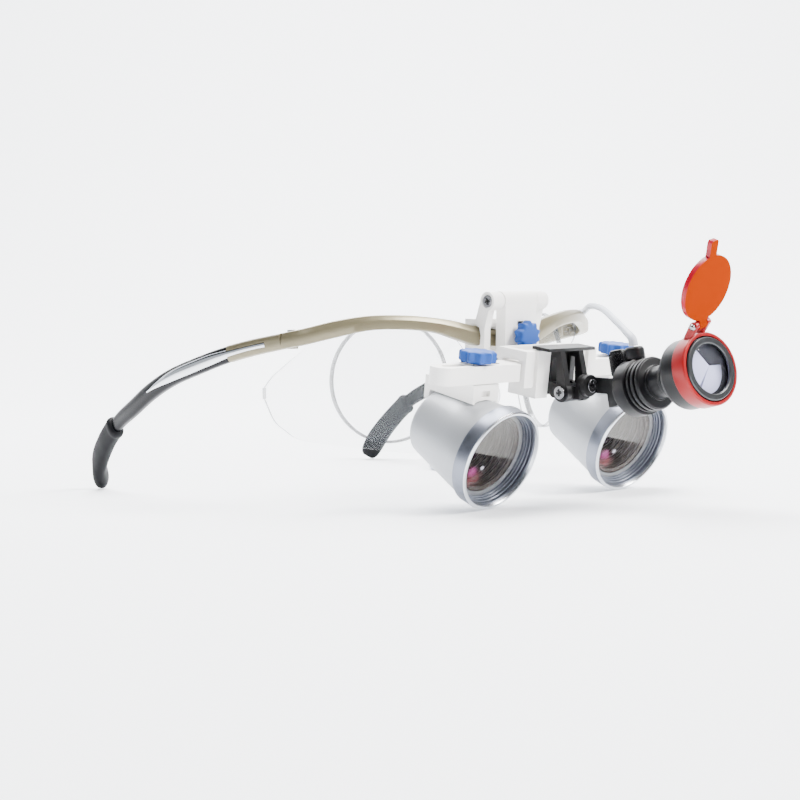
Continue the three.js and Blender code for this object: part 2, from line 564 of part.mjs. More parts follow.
const HOUSING = { front: 22.7, back: 33.6, r: 8.75, neck: 4.9, stub: 2.6, end: 40.4 };
const housingProfile = [
  [0, 17.4], [HOUSING.neck, 17.4], [HOUSING.neck, HOUSING.front], [8.1, HOUSING.front], [8.1, 23.9], [7.2, 23.9], [7.2, 24.8], [8.1, 24.8],
  [8.1, 25.9], [7.2, 25.9], [7.2, 26.8], [8.1, 26.8], [8.1, 27.7], [HOUSING.r, 27.7], [HOUSING.r, 33.1],
  [8.2, HOUSING.back], [HOUSING.stub, HOUSING.back], [HOUSING.stub, HOUSING.end], [0, HOUSING.end],
];
const headProfile = [
  [0, 16.8], [5.6, 17.1], [6.4, 14.6], [9.6, 11.6], [10.4, 10.2], [10.4, 5.5], [9.3, 5.5], [9.3, 2.6], [8.6, 2.6], [8.6, 9.5],
  [5, 13.2], [0, 13.2],
];
const SCREW_DEPTH = 37.5; // thumbscrew and gland places behind the front
const GLAND_DEPTH = 30.2;
const glandHole = rod('z', 2.2, 6.2, 12, [0, GLAND_DEPTH], 16);
add(lamp, 'lamp_housing', cut(turned(housingProfile, 28), glandHole), black);
add(lamp, 'lamp_head', turned(headProfile, 28), black);
add(lamp, 'lamp_emitter', join(rod('y', 3.6, 12, 12.9, [0, 0], 20), box([-1.2, 11.4, -1.2], [1.2, 12.2, 1.2])), finish(0xe8d27a, 0.5, 0));
add(lamp, 'lamp_lens', turned([[0, 1.1], [5, 1.5], [8.2, 2.6], [8.2, 4.2], [7.4, 4.2], [0, 9]], 24), clear);
add(lamp, 'lamp_bezel', turned([[7.4, 0], [9.4, 0], [9.4, 2.2], [8.5, 2.2], [7.4, 0.8], [7.4, 0]], 28), satin);
const gland = turned([[0, 7], [1.9, 7], [1.9, 9.1], [2.75, 9.1], [2.75, 11.9], [2.3, 12.3], [0, 12.3]], 16)
  .rotateX(90 * DEG).translate(0, GLAND_DEPTH, 0);
add(lamp, 'cable_gland', gland, black);

// Filter: a collar on the head with two lugs, a pin and the flip-up disc.
const turret = new THREE.Group(); // the collar is turned on the head
turret.rotation.y = -FILTER.roll * DEG;
lamp.add(turret);
const hingeZ = 13.1;
const hingeY = -1.6;
const collarRing = turned([[9.7, 0.4], [10.9, 0.8], [10.9, 5.2], [9.7, 5.2], [9.7, 0.4]], 28);
const lugs = [[-3.2, -1.9], [1.9, 3.2]].map(([x0, x1]) => join(
  rod('x', 1.35, x0, x1, [hingeY, hingeZ], 16), plate('x', [[0.9, 9.8], [4, 9.8], [3.4, 11], [-0.6, 14], [-2.6, 12.4]], x0, x1),
));
add(turret, 'filter_collar', cut(join(collarRing, ...lugs), rod('x', 0.8, -5, 5, [hingeY, hingeZ], 12),
  turned([[0, 0.5], [9.7, 0.5], [9.7, 7.5], [0, 7.5]], 28)), red);
add(turret, 'filter_pin', rod('x', 0.5, -3.9, 3.4, [hingeY, hingeZ], 12), steel);
const filterDisc = (() => {
  const { radius, thick, reach, tab } = FILTER;
  const disc = rod('y', radius, -thick / 2, thick / 2, [0, -(radius + reach)], 32);
  const handle = box([-1.5, -thick / 2, -(2 * radius + reach + tab)], [1.5, thick / 2, -(2 * radius)]);
  const eye = join(rod('x', 1.25, -1.6, 1.6, [0, 0], 16), box([-1.6, -thick / 2, -(reach + 1.2)], [1.6, thick / 2, -0.2]));
  return cut(join(disc, handle, eye), rod('x', 0.8, -5, 5, [0, 0], 12))
    .rotateX(-FILTER.open * DEG).translate(0, hingeY, hingeZ);
})();
add(turret, 'filter_disc', filterDisc, orange);

// Yoke: a swivel disc on the link and a block that grips the stub behind the housing.
const BLOCK = { half: 4, front: 34.2, back: 40.8, foot: -4.2, top: 4.4 };
const stubBore = rod('y', HOUSING.stub + 0.15, 30, 45, [0, 0], 20);
const screwBore = rod('z', 1.35, 0, 8, [0, SCREW_DEPTH], 16);
const yokeBlock = cut(box([-BLOCK.half, BLOCK.front, BLOCK.foot], [BLOCK.half, BLOCK.back, BLOCK.top]), stubBore, screwBore)
  .applyMatrix4(lamp.matrix);
const yokeDisc = join(
  rod('y', 3.4, face, face + 1.6, [swivelX, swivelZ], 24),
  box([swivelX, face - 6.2, swivelZ - 2.4], [5.6, face + 1.6, swivelZ + 2.4]),
);
const headRoom = box([swivelX - 6, face - 12, swivelZ - 8], [3.9, face, swivelZ + 8]);
const yokeArm = cut(yokeDisc, headRoom, box([-BLOCK.half + 1, BLOCK.front, BLOCK.foot], [BLOCK.half, BLOCK.back + 5, BLOCK.top])
  .applyMatrix4(lamp.matrix));
const yoke = cut(join(yokeArm, yokeBlock), rod('y', 1.35, face - 1, face + 3, [swivelX, swivelZ], 16));
add(lamp, 'lamp_yoke', yoke.applyMatrix4(toLampFrame), black);
const swivelScrew = cut(
  join(rod('y', 1.1, face - 0.5, face + 3, [swivelX, swivelZ], 16), rod('y', 2, face - 0.9, face - 0.25, [swivelX, swivelZ], 20)),
  crossRecess('y', face - 0.9, -1, [swivelX, swivelZ]),
);
add(leaning, 'swivel_screw', swivelScrew, steel);
const thumbHead = plate('z', lobed(2.4, 12, 0.2), BLOCK.top + GAP, 13).translate(0, SCREW_DEPTH, 0);
add(lamp, 'thumbscrew', join(thumbHead, rod('z', 1.1, HOUSING.stub + GAP, BLOCK.top + 1, [0, SCREW_DEPTH], 16)), black);

// ---------------------------------------------------------------- lead, clips and plug
// From the gland, over the brow bar's left corner, down the outside of the left temple to a
// clip, then down to the coil that lies on the table.
const loopRoute = [
  [6.8, -42.25, -14.9], [6.9, -41.8, -13], [9.6, -37.2, -10.7], [18, -26.2, -7.3], [34, -7.4, -3.4], [50, 11.2, -2.4],
  [60, 21.6, -3.4], [64.1, 26.5, -4.4], [65.5, 28.65, -4.5],
];
const templeRoute = [
  [65.75, 29, -4.5], [67.1, 31, -4.6], [69, 33.6, -5.7], [71.4, 37.2, -8.1], [73.2, 42, -10.6], [75, 50, -13], [76.2, 59, -15],
  [76.7, 67, -17], [76.6, 73.5, -19.6], [75.6, 80, -25.2], [73.4, 85.6, -34], [71, 88.4, -44], [69.8, 88.6, -51],
  [69.5, 88.6, COIL.height + GAP - HINGE_HEIGHT],
];
add(level, 'lead_loop', tube(loopRoute, LEAD / 2, 24), cable);
add(level, 'lead_temple', tube(templeRoute, LEAD / 2, 30), cable);

const { inner, outer, height } = COIL;
const coil = turned([[inner, 1], [inner + 1, 0], [outer - 1, 0], [outer, 1], [outer, height - 1], [outer - 1, height],
  [inner + 1, height], [inner, height - 1], [inner, 1]], 36)
  .rotateX(90 * DEG).translate(COIL.x, COIL.y, -HINGE_HEIGHT);
add(level, 'lead_coil', coil, cable);

const plugRadius = 4;
const plug = turned([[0, 0], [1.6, 0], [2.1, 5], [3.6, 5.6], [plugRadius, 6.4], [plugRadius, 17], [3.6, 18], [2.75, 18],
  [2.75, 27.5], [1.1, 27.5], [1.1, 21], [0, 21]], 20)
  .translate(COIL.x + 16.5, COIL.y + 10.5, plugRadius - HINGE_HEIGHT);
add(level, 'lead_plug', plug, rubber);

// Clips: a saddle over the bar and a band round the temple, each with an eye for the lead.
const browSaddle = cut(barSkin(GAP + 0.8, 70.2, 73.2, 3), barSkin(GAP, 69, 75, 6), box([55, 20, -16], [75, 40, -9.9]));
const eyeAt = browLine(71.7);
const eyeRun = (reach) => [-reach, reach].map((t) => [
  eyeAt.x + t * Math.cos(eyeAt.heading), eyeAt.y + t * Math.sin(eyeAt.heading), -4.5]);
add(level, 'brow_clip', cut(join(browSaddle, tube(eyeRun(1.4), 2.1, 1)), tube(eyeRun(3), 1.4, 1)), clear);

const bandAt = [0.245, 0.275];
const band = (grow, [from, to]) => templeSkin(1, from, to, () => [2.3 + grow, 3.2 + grow, 0], 2, 10);
const eye = (radius, [from, to]) => templeSkin(1, from, to, () => [radius, radius, 4], 2, 12, 2);
add(level, 'temple_clip', cut(join(band(0.7, bandAt), eye(2.1, bandAt)), band(0, [0.23, 0.29]), eye(1.4, [0.23, 0.29])), clear);

export default loupes;
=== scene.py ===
import json
import math

import bmesh
import bpy
from mathutils import Matrix, Vector

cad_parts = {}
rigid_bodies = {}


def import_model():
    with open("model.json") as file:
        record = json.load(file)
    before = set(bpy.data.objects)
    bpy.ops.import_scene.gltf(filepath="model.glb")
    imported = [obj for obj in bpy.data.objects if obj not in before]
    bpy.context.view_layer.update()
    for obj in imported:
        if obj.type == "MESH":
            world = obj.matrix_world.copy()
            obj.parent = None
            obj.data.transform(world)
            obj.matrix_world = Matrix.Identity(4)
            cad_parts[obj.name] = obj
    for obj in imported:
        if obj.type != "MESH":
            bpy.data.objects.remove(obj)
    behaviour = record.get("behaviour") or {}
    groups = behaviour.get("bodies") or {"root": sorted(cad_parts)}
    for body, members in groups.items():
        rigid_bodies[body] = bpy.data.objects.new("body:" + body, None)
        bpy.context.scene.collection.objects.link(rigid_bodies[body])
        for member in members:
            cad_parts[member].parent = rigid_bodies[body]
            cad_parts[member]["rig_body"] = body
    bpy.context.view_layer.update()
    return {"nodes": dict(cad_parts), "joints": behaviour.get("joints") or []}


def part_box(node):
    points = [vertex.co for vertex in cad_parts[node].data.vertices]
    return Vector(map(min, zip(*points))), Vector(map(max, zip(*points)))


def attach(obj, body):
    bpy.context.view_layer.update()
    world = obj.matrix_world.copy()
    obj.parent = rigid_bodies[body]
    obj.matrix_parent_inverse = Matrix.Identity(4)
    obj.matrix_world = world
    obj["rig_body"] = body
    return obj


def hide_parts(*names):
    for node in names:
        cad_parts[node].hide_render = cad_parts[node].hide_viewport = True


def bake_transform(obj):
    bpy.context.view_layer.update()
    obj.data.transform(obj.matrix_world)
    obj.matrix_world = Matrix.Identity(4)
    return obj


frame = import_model()

# ---------------------------------------------------------------- places, in millimetres
# The level frame has its origin on the flip hinge; every other place is drawn from it, as in the part.
JOINTS = {joint["name"]: joint for joint in frame["joints"]}
SIDES = (("right", -1), ("left", 1))
LEAN = 3.2
RAIL_NOD = 6
NOD_PIVOT = Vector((0, -15, -20))
EYE = 30.7
BARREL = {"y": -24.6, "z": -46.75, "pitch": 20.1, "converge": 2.9}
LAMP_AT = {"x": 2.5, "y": -75.2, "z": -17.3, "pitch": 14.7, "yaw": -7.6}
FILTER = {"open": 144.8, "radius": 9.9, "thick": 1.6, "reach": 1.8, "tab": 4.8, "roll": 14.8}
HINGE_Y, HINGE_Z = -1.6, 13.1
LEAD = 2.2


def turn(degrees, axis):
    return Matrix.Rotation(math.radians(degrees), 4, axis)


LEVEL = Matrix.Translation(JOINTS["flip_hinge"]["pos_m"]) @ Matrix.Scale(0.001, 4)
LEANING = LEVEL @ turn(LEAN, "X")
NODDING = LEANING @ Matrix.Translation(NOD_PIVOT) @ turn(RAIL_NOD, "X") @ Matrix.Translation(-NOD_PIVOT)
LOUPE = {
    name: LEANING @ Matrix.Translation((side * EYE, BARREL["y"], BARREL["z"]))
    @ turn(-side * BARREL["converge"], "Z") @ turn(BARREL["pitch"], "X")
    for name, side in SIDES
}
LAMP = (LEANING @ Matrix.Translation((LAMP_AT["x"], LAMP_AT["y"], LAMP_AT["z"]))
        @ turn(LAMP_AT["yaw"], "Z") @ turn(-LAMP_AT["pitch"], "X"))
TURRET = LAMP @ turn(-FILTER["roll"], "Y")


# ---------------------------------------------------------------- curves
def smooth(rows):
    """A smooth run of values over sorted (station, value...) rows."""
    def at(s):
        i = 0
        while i < len(rows) - 2 and s > rows[i + 1][0]:
            i += 1
        a, b = rows[i], rows[i + 1]
        before, after = rows[max(i - 1, 0)], rows[min(i + 2, len(rows) - 1)]
        width = b[0] - a[0]
        t = min(max((s - a[0]) / width, 0), 1)
        values = []
        for k in range(1, len(a)):
            m0 = (b[k] - before[k]) / (b[0] - before[0]) * width
            m1 = (after[k] - a[k]) / (after[0] - a[0]) * width
            values.append((2 * t**3 - 3 * t**2 + 1) * a[k] + (t**3 - 2 * t**2 + t) * m0
                          + (3 * t**2 - 2 * t**3) * b[k] + (t**3 - t**2) * m1)
        return values
    return at


def through(points):
    """A centripetal Catmull-Rom curve through points, as a function of the share of its spans."""
    points = [Vector(p) for p in points]
    ends = [2 * points[0] - points[1]] + points + [2 * points[-1] - points[-2]]

    def at(u):
        spot = min(max(u, 0), 1) * (len(points) - 1)
        i = min(int(spot), len(points) - 2)
        t = spot - i
        p0, p1, p2, p3 = ends[i:i + 4]
        d0, d1, d2 = ((b - a).length**0.5 for a, b in ((p0, p1), (p1, p2), (p2, p3)))
        m1 = ((p1 - p0) / d0 - (p2 - p0) / (d0 + d1) + (p2 - p1) / d1) * d1
        m2 = ((p2 - p1) / d1 - (p3 - p1) / (d1 + d2) + (p3 - p2) / d2) * d1
        return (p1 + m1 * t + (3 * (p2 - p1) - 2 * m1 - m2) * t**2 + (2 * (p1 - p2) + m1 + m2) * t**3)
    return at


def route(points, step=0.6):
    """Points along the curve, about step apart."""
    curve = through(points)
    fine = [curve(i / (40 * len(points))) for i in range(40 * len(points) + 1)]
    path = [fine[0]]
    for point in fine[1:]:
        if (point - path[-1]).length >= step:
            path.append(point)
    path[-1] = fine[-1]
    return path


def length_of(path):
    return sum((b - a).length for a, b in zip(path, path[1:]))


BROW = {"depth": 4.55, "radius": 105, "turn": math.radians(36), "corner": 16, "heading": math.radians(86)}
BAR_HALF = 1.8
JOINT_AT = 77


def brow_line(s, inset=0):
    """The brow line in plan at arc length s from the middle, moved inset towards the face."""
    side, run = math.copysign(1, s), abs(s)
    wide = BROW["radius"] * BROW["turn"]
    tight = BROW["corner"] * (BROW["heading"] - BROW["turn"])
    a = min(run, wide) / BROW["radius"]
    b = BROW["turn"] + min(max(run - wide, 0), tight) / BROW["corner"]
    heading = b if run > wide else a
    x = BROW["radius"] * math.sin(a)
    y = BROW["depth"] + BROW["radius"] * (1 - math.cos(a))
    if run > wide:
        rest = max(run - wide - tight, 0)
        x += BROW["corner"] * (math.sin(b) - math.sin(BROW["turn"])) + rest * math.cos(b)
        y += BROW["corner"] * (math.cos(BROW["turn"]) - math.cos(b)) + rest * math.sin(b)
    return side * (x - inset * math.sin(heading)), y + inset * math.cos(heading), side * heading


bar_shape = smooth([
    (0, -12.4, 2.7), (14, -10.6, 3.1), (21, -8.8, 2.9), (28, -7.1, 2.35), (38, -5.9, 2.25),
    (50, -5.7, 2.3), (61, -7.3, 2.6), (70, -9.2, 2.6), (77, -10.4, 2.5),
])
temple_line = through([
    (67.9, 33.8, -10.45), (70.2, 46, -12.3), (71.9, 58, -14.6), (72.9, 72, -18), (73, 87, -22),
    (72.4, 100, -26.8), (71.3, 112, -32.3), (69.9, 124.5, -38), (69, 134.5, -45.4), (67.3, 142, -53.4),
    (64, 145.5, -61.57),
])


# ---------------------------------------------------------------- mesh tools
def bridge(bm, rings, closed=False):
    """Quads between rings of the same count; a ring of one point makes a cap."""
    pairs = list(zip(rings, rings[1:] + rings[:1] if closed else rings[1:]))
    for a, b in pairs:
        count = max(len(a), len(b))
        if count == 1:
            continue
        for i in range(count):
            j = (i + 1) % count
            corners = [a[i % len(a)], a[j % len(a)], b[j % len(b)], b[i % len(b)]]
            bm.faces.new(list(dict.fromkeys(corners)))


def rounded(points, radius, steps=4):
    """An open outline with its inner corners rounded."""
    points = [Vector(p) for p in points]
    out = [points[0]]
    for a, b, c in zip(points, points[1:], points[2:]):
        before, after = (a - b), (c - b)
        reach = min(radius, 0.45 * before.length, 0.45 * after.length)
        p, q = b + before.normalized() * reach, b + after.normalized() * reach
        out += [p.lerp(b, t).lerp(b.lerp(q, t), t) for t in (i / steps for i in range(steps + 1))]
    return out + [points[-1]]


def lathe(profile, corner=0.0, segments=96):
    """A profile of (radius, depth) turned about Y."""
    bm = bmesh.new()
    closed = tuple(profile[0]) == tuple(profile[-1])
    outline = rounded(profile, corner) if corner else [Vector(p) for p in profile]
    if closed:
        outline = outline[:-1]
    rings = []
    for r, y in outline:
        count = segments if r > 1e-6 else 1
        angles = [2 * math.pi * i / segments for i in range(count)]
        rings.append([bm.verts.new((r * math.cos(a), y, r * math.sin(a))) for a in angles])
    bridge(bm, rings, closed)
    return bm


def loft(at, steps, section):
    """A skin through sections; at(u) gives the centre, the two axes and the two half sizes."""
    bm = bmesh.new()
    rings = []
    for i in range(steps + 1):
        centre, across, up, half = at(i / steps)
        rings.append([bm.verts.new(centre + across * a * half[0] + up * b * half[1]) for a, b in section])
    bridge(bm, rings)
    for ring in (rings[0], rings[-1]):
        bm.faces.new(ring)
    return bm


def oval(power=2.6, sides=32):
    points = []
    for i in range(sides):
        c, s = math.cos(2 * math.pi * i / sides), math.sin(2 * math.pi * i / sides)
        size = (abs(c)**power + abs(s)**power) ** (-1 / power)
        points.append((c * size, s * size))
    return points


def tube(path, radius, sides=16):
    """A round tube along points; radius may be a function of the share of its length."""
    bm = bmesh.new()
    rings = []
    across = Vector((0, 0, 1)).cross(path[1] - path[0])
    across = across.normalized() if across.length > 1e-3 * (path[1] - path[0]).length else Vector((1, 0, 0))
    for i, point in enumerate(path):
        along = (path[min(i + 1, len(path) - 1)] - path[max(i - 1, 0)]).normalized()
        across = (across - along * across.dot(along)).normalized()
        up = along.cross(across)
        r = radius(i / (len(path) - 1)) if callable(radius) else radius
        angles = [2 * math.pi * k / sides for k in range(sides)]
        rings.append([bm.verts.new(point + (across * math.cos(a) + up * math.sin(a)) * r) for a in angles])
    bridge(bm, rings)
    for ring in (rings[0], rings[-1]):
        bm.faces.new(ring)
    return bm


def prism(outline, axis, low, high):
    """A flat outline of (u, v) pushed along an axis: x takes (y, z), y takes (x, z), z takes (x, y)."""
    bm = bmesh.new()
    spot = {
        "x": lambda u, v, w: (w, u, v),
        "y": lambda u, v, w: (u, w, v),
        "z": lambda u, v, w: (u, v, w),
    }[axis]
    rings = [[bm.verts.new(spot(u, v, w)) for u, v in outline] for w in (low, high)]
    bridge(bm, rings)
    for ring in rings:
        bm.faces.new(ring)
    return bm


def merge(*parts):
    """One bmesh of several."""
    whole = parts[0]
    for part in parts[1:]:
        mesh = bpy.data.meshes.new("part")
        part.to_mesh(mesh)
        part.free()
        whole.from_mesh(mesh)
        bpy.data.meshes.remove(mesh)
    return whole


def soften(bm, bevel, angle=30):
    """Rounds the sharp edges."""
    bmesh.ops.recalc_face_normals(bm, faces=bm.faces)
    sharp = [e for e in bm.edges if e.is_manifold and e.calc_face_angle() > math.radians(angle)]
    bmesh.ops.bevel(bm, geom=sharp, offset=bevel, segments=3, profile=0.6, affect="EDGES", clamp_overlap=True)


def piece(name, bm, place, look, body, replaces=(), crisp=32, second=None, where=None):
    """Makes an object from a bmesh drawn in millimetres in one of the frames above.

    Faces for which where(face) holds get the second look."""
    bmesh.ops.recalc_face_normals(bm, faces=bm.faces)
    bm.faces.index_update()
    for face in bm.faces:
        face.material_index = 1 if where and where(face) else 0
    mesh = bpy.data.meshes.new(name)
    bm.to_mesh(mesh)
    bm.free()
    mesh.transform(place)
    mesh.shade_smooth()
    mesh.set_sharp_from_angle(angle=math.radians(crisp))
    mesh.materials.append(LOOKS[look])
    if second:
        mesh.materials.append(LOOKS[second])
    obj = bpy.data.objects.new(name, mesh)
    bpy.context.scene.collection.objects.link(obj)
    if body:
        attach(obj, body)
    if replaces:
        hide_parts(*replaces)
    return obj


def refined(node, look, bevel=0.35, crisp=32):
    """The CAD node's own shape with its edges rounded."""
    bm = bmesh.new()
    bm.from_mesh(frame["nodes"][node].data)
    bmesh.ops.remove_doubles(bm, verts=bm.verts, dist=2e-6)
    bmesh.ops.dissolve_limit(bm, angle_limit=math.radians(1.5), verts=bm.verts, edges=bm.edges)
    body = frame["nodes"][node]["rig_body"]
    soften(bm, bevel * 0.001)
    obj = piece(f"{node}_finished", bm, Matrix.Identity(4), look, body, (node,), crisp=crisp)
    obj.modifiers.new("normals", "WEIGHTED_NORMAL").keep_sharp = True
    return obj


# ---------------------------------------------------------------- materials
def finish(name, color, rough, metal=0.0, grain=0.25, bump=0.15, mottle=0.04, spread=0.06, **sockets):
    """A procedural surface: grain is the texture's size in millimetres and bump its height."""
    material = bpy.data.materials.new(name)
    material.use_nodes = True
    nodes, links = material.node_tree.nodes, material.node_tree.links
    shader = nodes["Principled BSDF"]
    place = nodes.new("ShaderNodeTexCoord")

    def noise(size, detail=2):
        texture = nodes.new("ShaderNodeTexNoise")
        texture.inputs["Scale"].default_value = 1000 / size
        texture.inputs["Detail"].default_value = detail
        links.new(place.outputs["Object"], texture.inputs["Vector"])
        return texture.outputs["Fac"]

    tint = nodes.new("ShaderNodeMix")
    tint.data_type = "RGBA"
    tint.inputs["A"].default_value = [c * (1 - mottle) for c in color] + [1]
    tint.inputs["B"].default_value = [min(c * (1 + mottle), 1) for c in color] + [1]
    links.new(noise(9), tint.inputs["Factor"])
    links.new(tint.outputs["Result"], shader.inputs["Base Color"])
    gloss = nodes.new("ShaderNodeMapRange")
    gloss.inputs["To Min"].default_value = max(rough - spread, 0.01)
    gloss.inputs["To Max"].default_value = rough + spread
    links.new(noise(2.5), gloss.inputs["Value"])
    links.new(gloss.outputs["Result"], shader.inputs["Roughness"])
    relief = nodes.new("ShaderNodeBump")
    relief.inputs["Strength"].default_value = bump
    relief.inputs["Distance"].default_value = 0.00004
    links.new(noise(grain, 3), relief.inputs["Height"])
    links.new(relief.outputs["Normal"], shader.inputs["Normal"])
    shader.inputs["Metallic"].default_value = metal
    for socket, value in sockets.items():
        shader.inputs[socket.replace("_", " ")].default_value = value
    return material


SLOT_LOOKS = {
    "champagne_metal": dict(color=(0.17, 0.148, 0.088), rough=0.32, metal=0.5, bump=0.02, Coat_Weight=0.15),
    "white_plastic": dict(color=(0.9, 0.885, 0.86), rough=0.45, bump=0.1, mottle=0.012),
    "blue_plastic": dict(color=(0.012, 0.065, 0.3), rough=0.5, bump=0.12, mottle=0.05,
                         Specular_IOR_Level=0.25),
    "silver_alloy": dict(color=(0.37, 0.385, 0.41), rough=0.4, metal=0.35, grain=0.18, bump=0.25,
                         mottle=0.02),
    "satin_ring": dict(color=(0.19, 0.205, 0.25), rough=0.32, metal=0.85, grain=0.15, bump=0.12,
                       mottle=0.03),
    "black_alloy": dict(color=(0.004, 0.004, 0.005), rough=0.33, bump=0.1, mottle=0.1,
                        Specular_IOR_Level=0.3),
    "black_plastic": dict(color=(0.004, 0.004, 0.0045), rough=0.42, bump=0.12, mottle=0.1,
                          Specular_IOR_Level=0.28),
    "steel": dict(color=(0.27, 0.27, 0.28), rough=0.25, metal=1.0, bump=0.05),
    "chrome_trim": dict(color=(0.7, 0.72, 0.75), rough=0.08, metal=1.0, bump=0.0, spread=0.02),
    "sleeve_rubber": dict(color=(0.0045, 0.0047, 0.006), rough=0.55, grain=0.3, bump=0.3, mottle=0.08,
                          Specular_IOR_Level=0.13),
    "smoky_gloss": dict(color=(0.0035, 0.0037, 0.005), rough=0.22, bump=0.02, Specular_IOR_Level=0.11),
    "clear_plastic": dict(color=(0.42, 0.45, 0.48), rough=0.04, bump=0.0, spread=0.01, mottle=0.0,
                          Alpha=0.045),
    "coated_glass": dict(color=(0.04, 0.03, 0.045), rough=0.03, bump=0.0, spread=0.01, mottle=0.0,
                         Alpha=0.5, Coat_Weight=0.5),
    "lamp_glass": dict(color=(0.55, 0.56, 0.68), rough=0.03, bump=0.0, spread=0.01, mottle=0.0, Alpha=0.05),
    "led_phosphor": dict(color=(0.6, 0.4, 0.05), rough=0.4, bump=0.1),
    "red_alloy": dict(color=(0.24, 0.003, 0.005), rough=0.32, metal=0.2, bump=0.08, Specular_IOR_Level=0.4),
    "filter_acrylic": dict(color=(0.22, 0.021, 0.0), rough=0.35, bump=0.0, mottle=0.02,
                           Specular_IOR_Level=0.0),
    "lead_jacket": dict(color=(0.5, 0.53, 0.6), rough=0.4, bump=0.08, mottle=0.02),
    "plug_body": dict(color=(0.006, 0.006, 0.007), rough=0.45, bump=0.15),
}
OTHER_LOOKS = {
    "baffle_black": dict(color=(0.03, 0.019, 0.014), rough=0.32, metal=0.2, bump=0.05),
    "purple_coat": dict(color=(0.03, 0.008, 0.03), rough=0.08, bump=0.0, Coat_Weight=0.5),
    "clear_edge": dict(color=(0.035, 0.038, 0.042), rough=0.15, bump=0.0, mottle=0.05, Alpha=0.6,
                       Specular_IOR_Level=0.15),
    "clear_rim": dict(color=(0.045, 0.048, 0.053), rough=0.12, bump=0.0, mottle=0.05, Alpha=0.3,
                      Specular_IOR_Level=0.25),
    "filter_edge": dict(color=(0.3, 0.0, 0.012), rough=0.25, bump=0.0, mottle=0.05, Specular_IOR_Level=0.3),
    "bright_lip": dict(color=(0.62, 0.64, 0.68), rough=0.22, metal=0.9, grain=0.15, bump=0.08),
    "gunmetal": dict(color=(0.055, 0.057, 0.06), rough=0.3, metal=0.8, grain=0.15, bump=0.1),
    # Near-black: painted shade inside the screws' Phillips recesses.
    "painted_recess_shade": dict(color=(0.012, 0.012, 0.013), rough=0.4, metal=0.5, bump=0.1),
    # Faint glow: painted reflection in the lamp lens's facets.
    "lamp_painted_reflection": dict(color=(0.4, 0.41, 0.62), rough=0.15, bump=0.03, mottle=0.12,
                       Emission_Color=(0.75, 0.78, 1, 1), Emission_Strength=0.25),
}
LOOKS = {name: finish(name, **values) for name, values in (SLOT_LOOKS | OTHER_LOOKS).items()}


# ---------------------------------------------------------------- camera and cords
VIEW_RIGHT = Vector((0.7327, -0.6799, -0.0300))
VIEW_UP = Vector((0.0582, 0.0187, 0.9981))
VIEW_BACK = Vector((-0.6781, -0.7331, 0.0533))
VIEW_AT = Vector((-374.56, -349.51, -3.42))


def camera():
    """The photograph's viewpoint, placed from the flip hinge."""
    eye = bpy.data.cameras.new("camera")
    eye.sensor_width = 36
    eye.lens = 71.84
    eye.clip_start = 0.01
    obj = bpy.data.objects.new("camera", eye)
    turned = Matrix((VIEW_RIGHT, VIEW_UP, VIEW_BACK)).transposed().to_4x4()
    obj.matrix_world = Matrix.Translation(LEVEL @ VIEW_AT) @ turned
    bpy.context.scene.collection.objects.link(obj)
    bpy.context.scene.camera = obj


LOOP_ROUTE = [
    (6.8, -42.25, -14.9), (6.9, -41.8, -13), (9.6, -37.2, -10.7), (18, -26.2, -7.3), (34, -7.4, -3.4),
    (50, 11.2, -2.4), (60, 21.6, -3.4), (64.1, 26.5, -4.4), (65.5, 28.65, -4.5),
]
TEMPLE_ROUTE = [
    (65.75, 29, -4.5), (67.1, 31, -4.6), (69, 33.6, -5.7), (71.4, 37.2, -8.1), (73.2, 42, -10.6),
    (75, 50, -13), (76.2, 59, -15), (76.7, 67, -17), (76.6, 73.5, -19.6), (75.6, 80, -25.2),
    (73.4, 85.6, -34), (71, 88.4, -44), (69.8, 88.6, -49),
]
COIL = {"x": 61, "y": 80, "start": 80, "turns": 10 + 280 / 360}
COIL_TURNS = [(12, 5.4), (14.25, 5.4), (15.4, 3.25), (13.1, 3.25), (10.9, 3.25), (8.6, 3.25),
              (7.5, 1.1), (9.75, 1.1), (12, 1.1), (14.25, 1.1), (16.5, 1.1), (16.5, 1.1)]
COIL_EXIT = COIL["x"] + 16.5
PLUG_RADIUS = 4
RELIEF = 13.0
TABLE = -JOINTS["flip_hinge"]["pos_m"][2] * 1000


def coil_points():
    """The turns of the spare lead, from the top layer down to the outermost turn on the table."""
    points = []
    steps = round(COIL["turns"] * 30)
    for i in range(steps + 1):
        a = COIL["turns"] * 360 * i / steps
        (r0, z0), (r1, z1) = COIL_TURNS[int(a // 360)], COIL_TURNS[int(a // 360) + 1]
        t = min(max((a % 360 - 290) / 50, 0), 1)
        t = t * t * (3 - 2 * t)
        r, z = r0 + (r1 - r0) * t, z0 + (z1 - z0) * t
        angle = math.radians(COIL["start"] + a)
        points.append((COIL["x"] + r * math.cos(angle), COIL["y"] + r * math.sin(angle), TABLE + z))
    return points


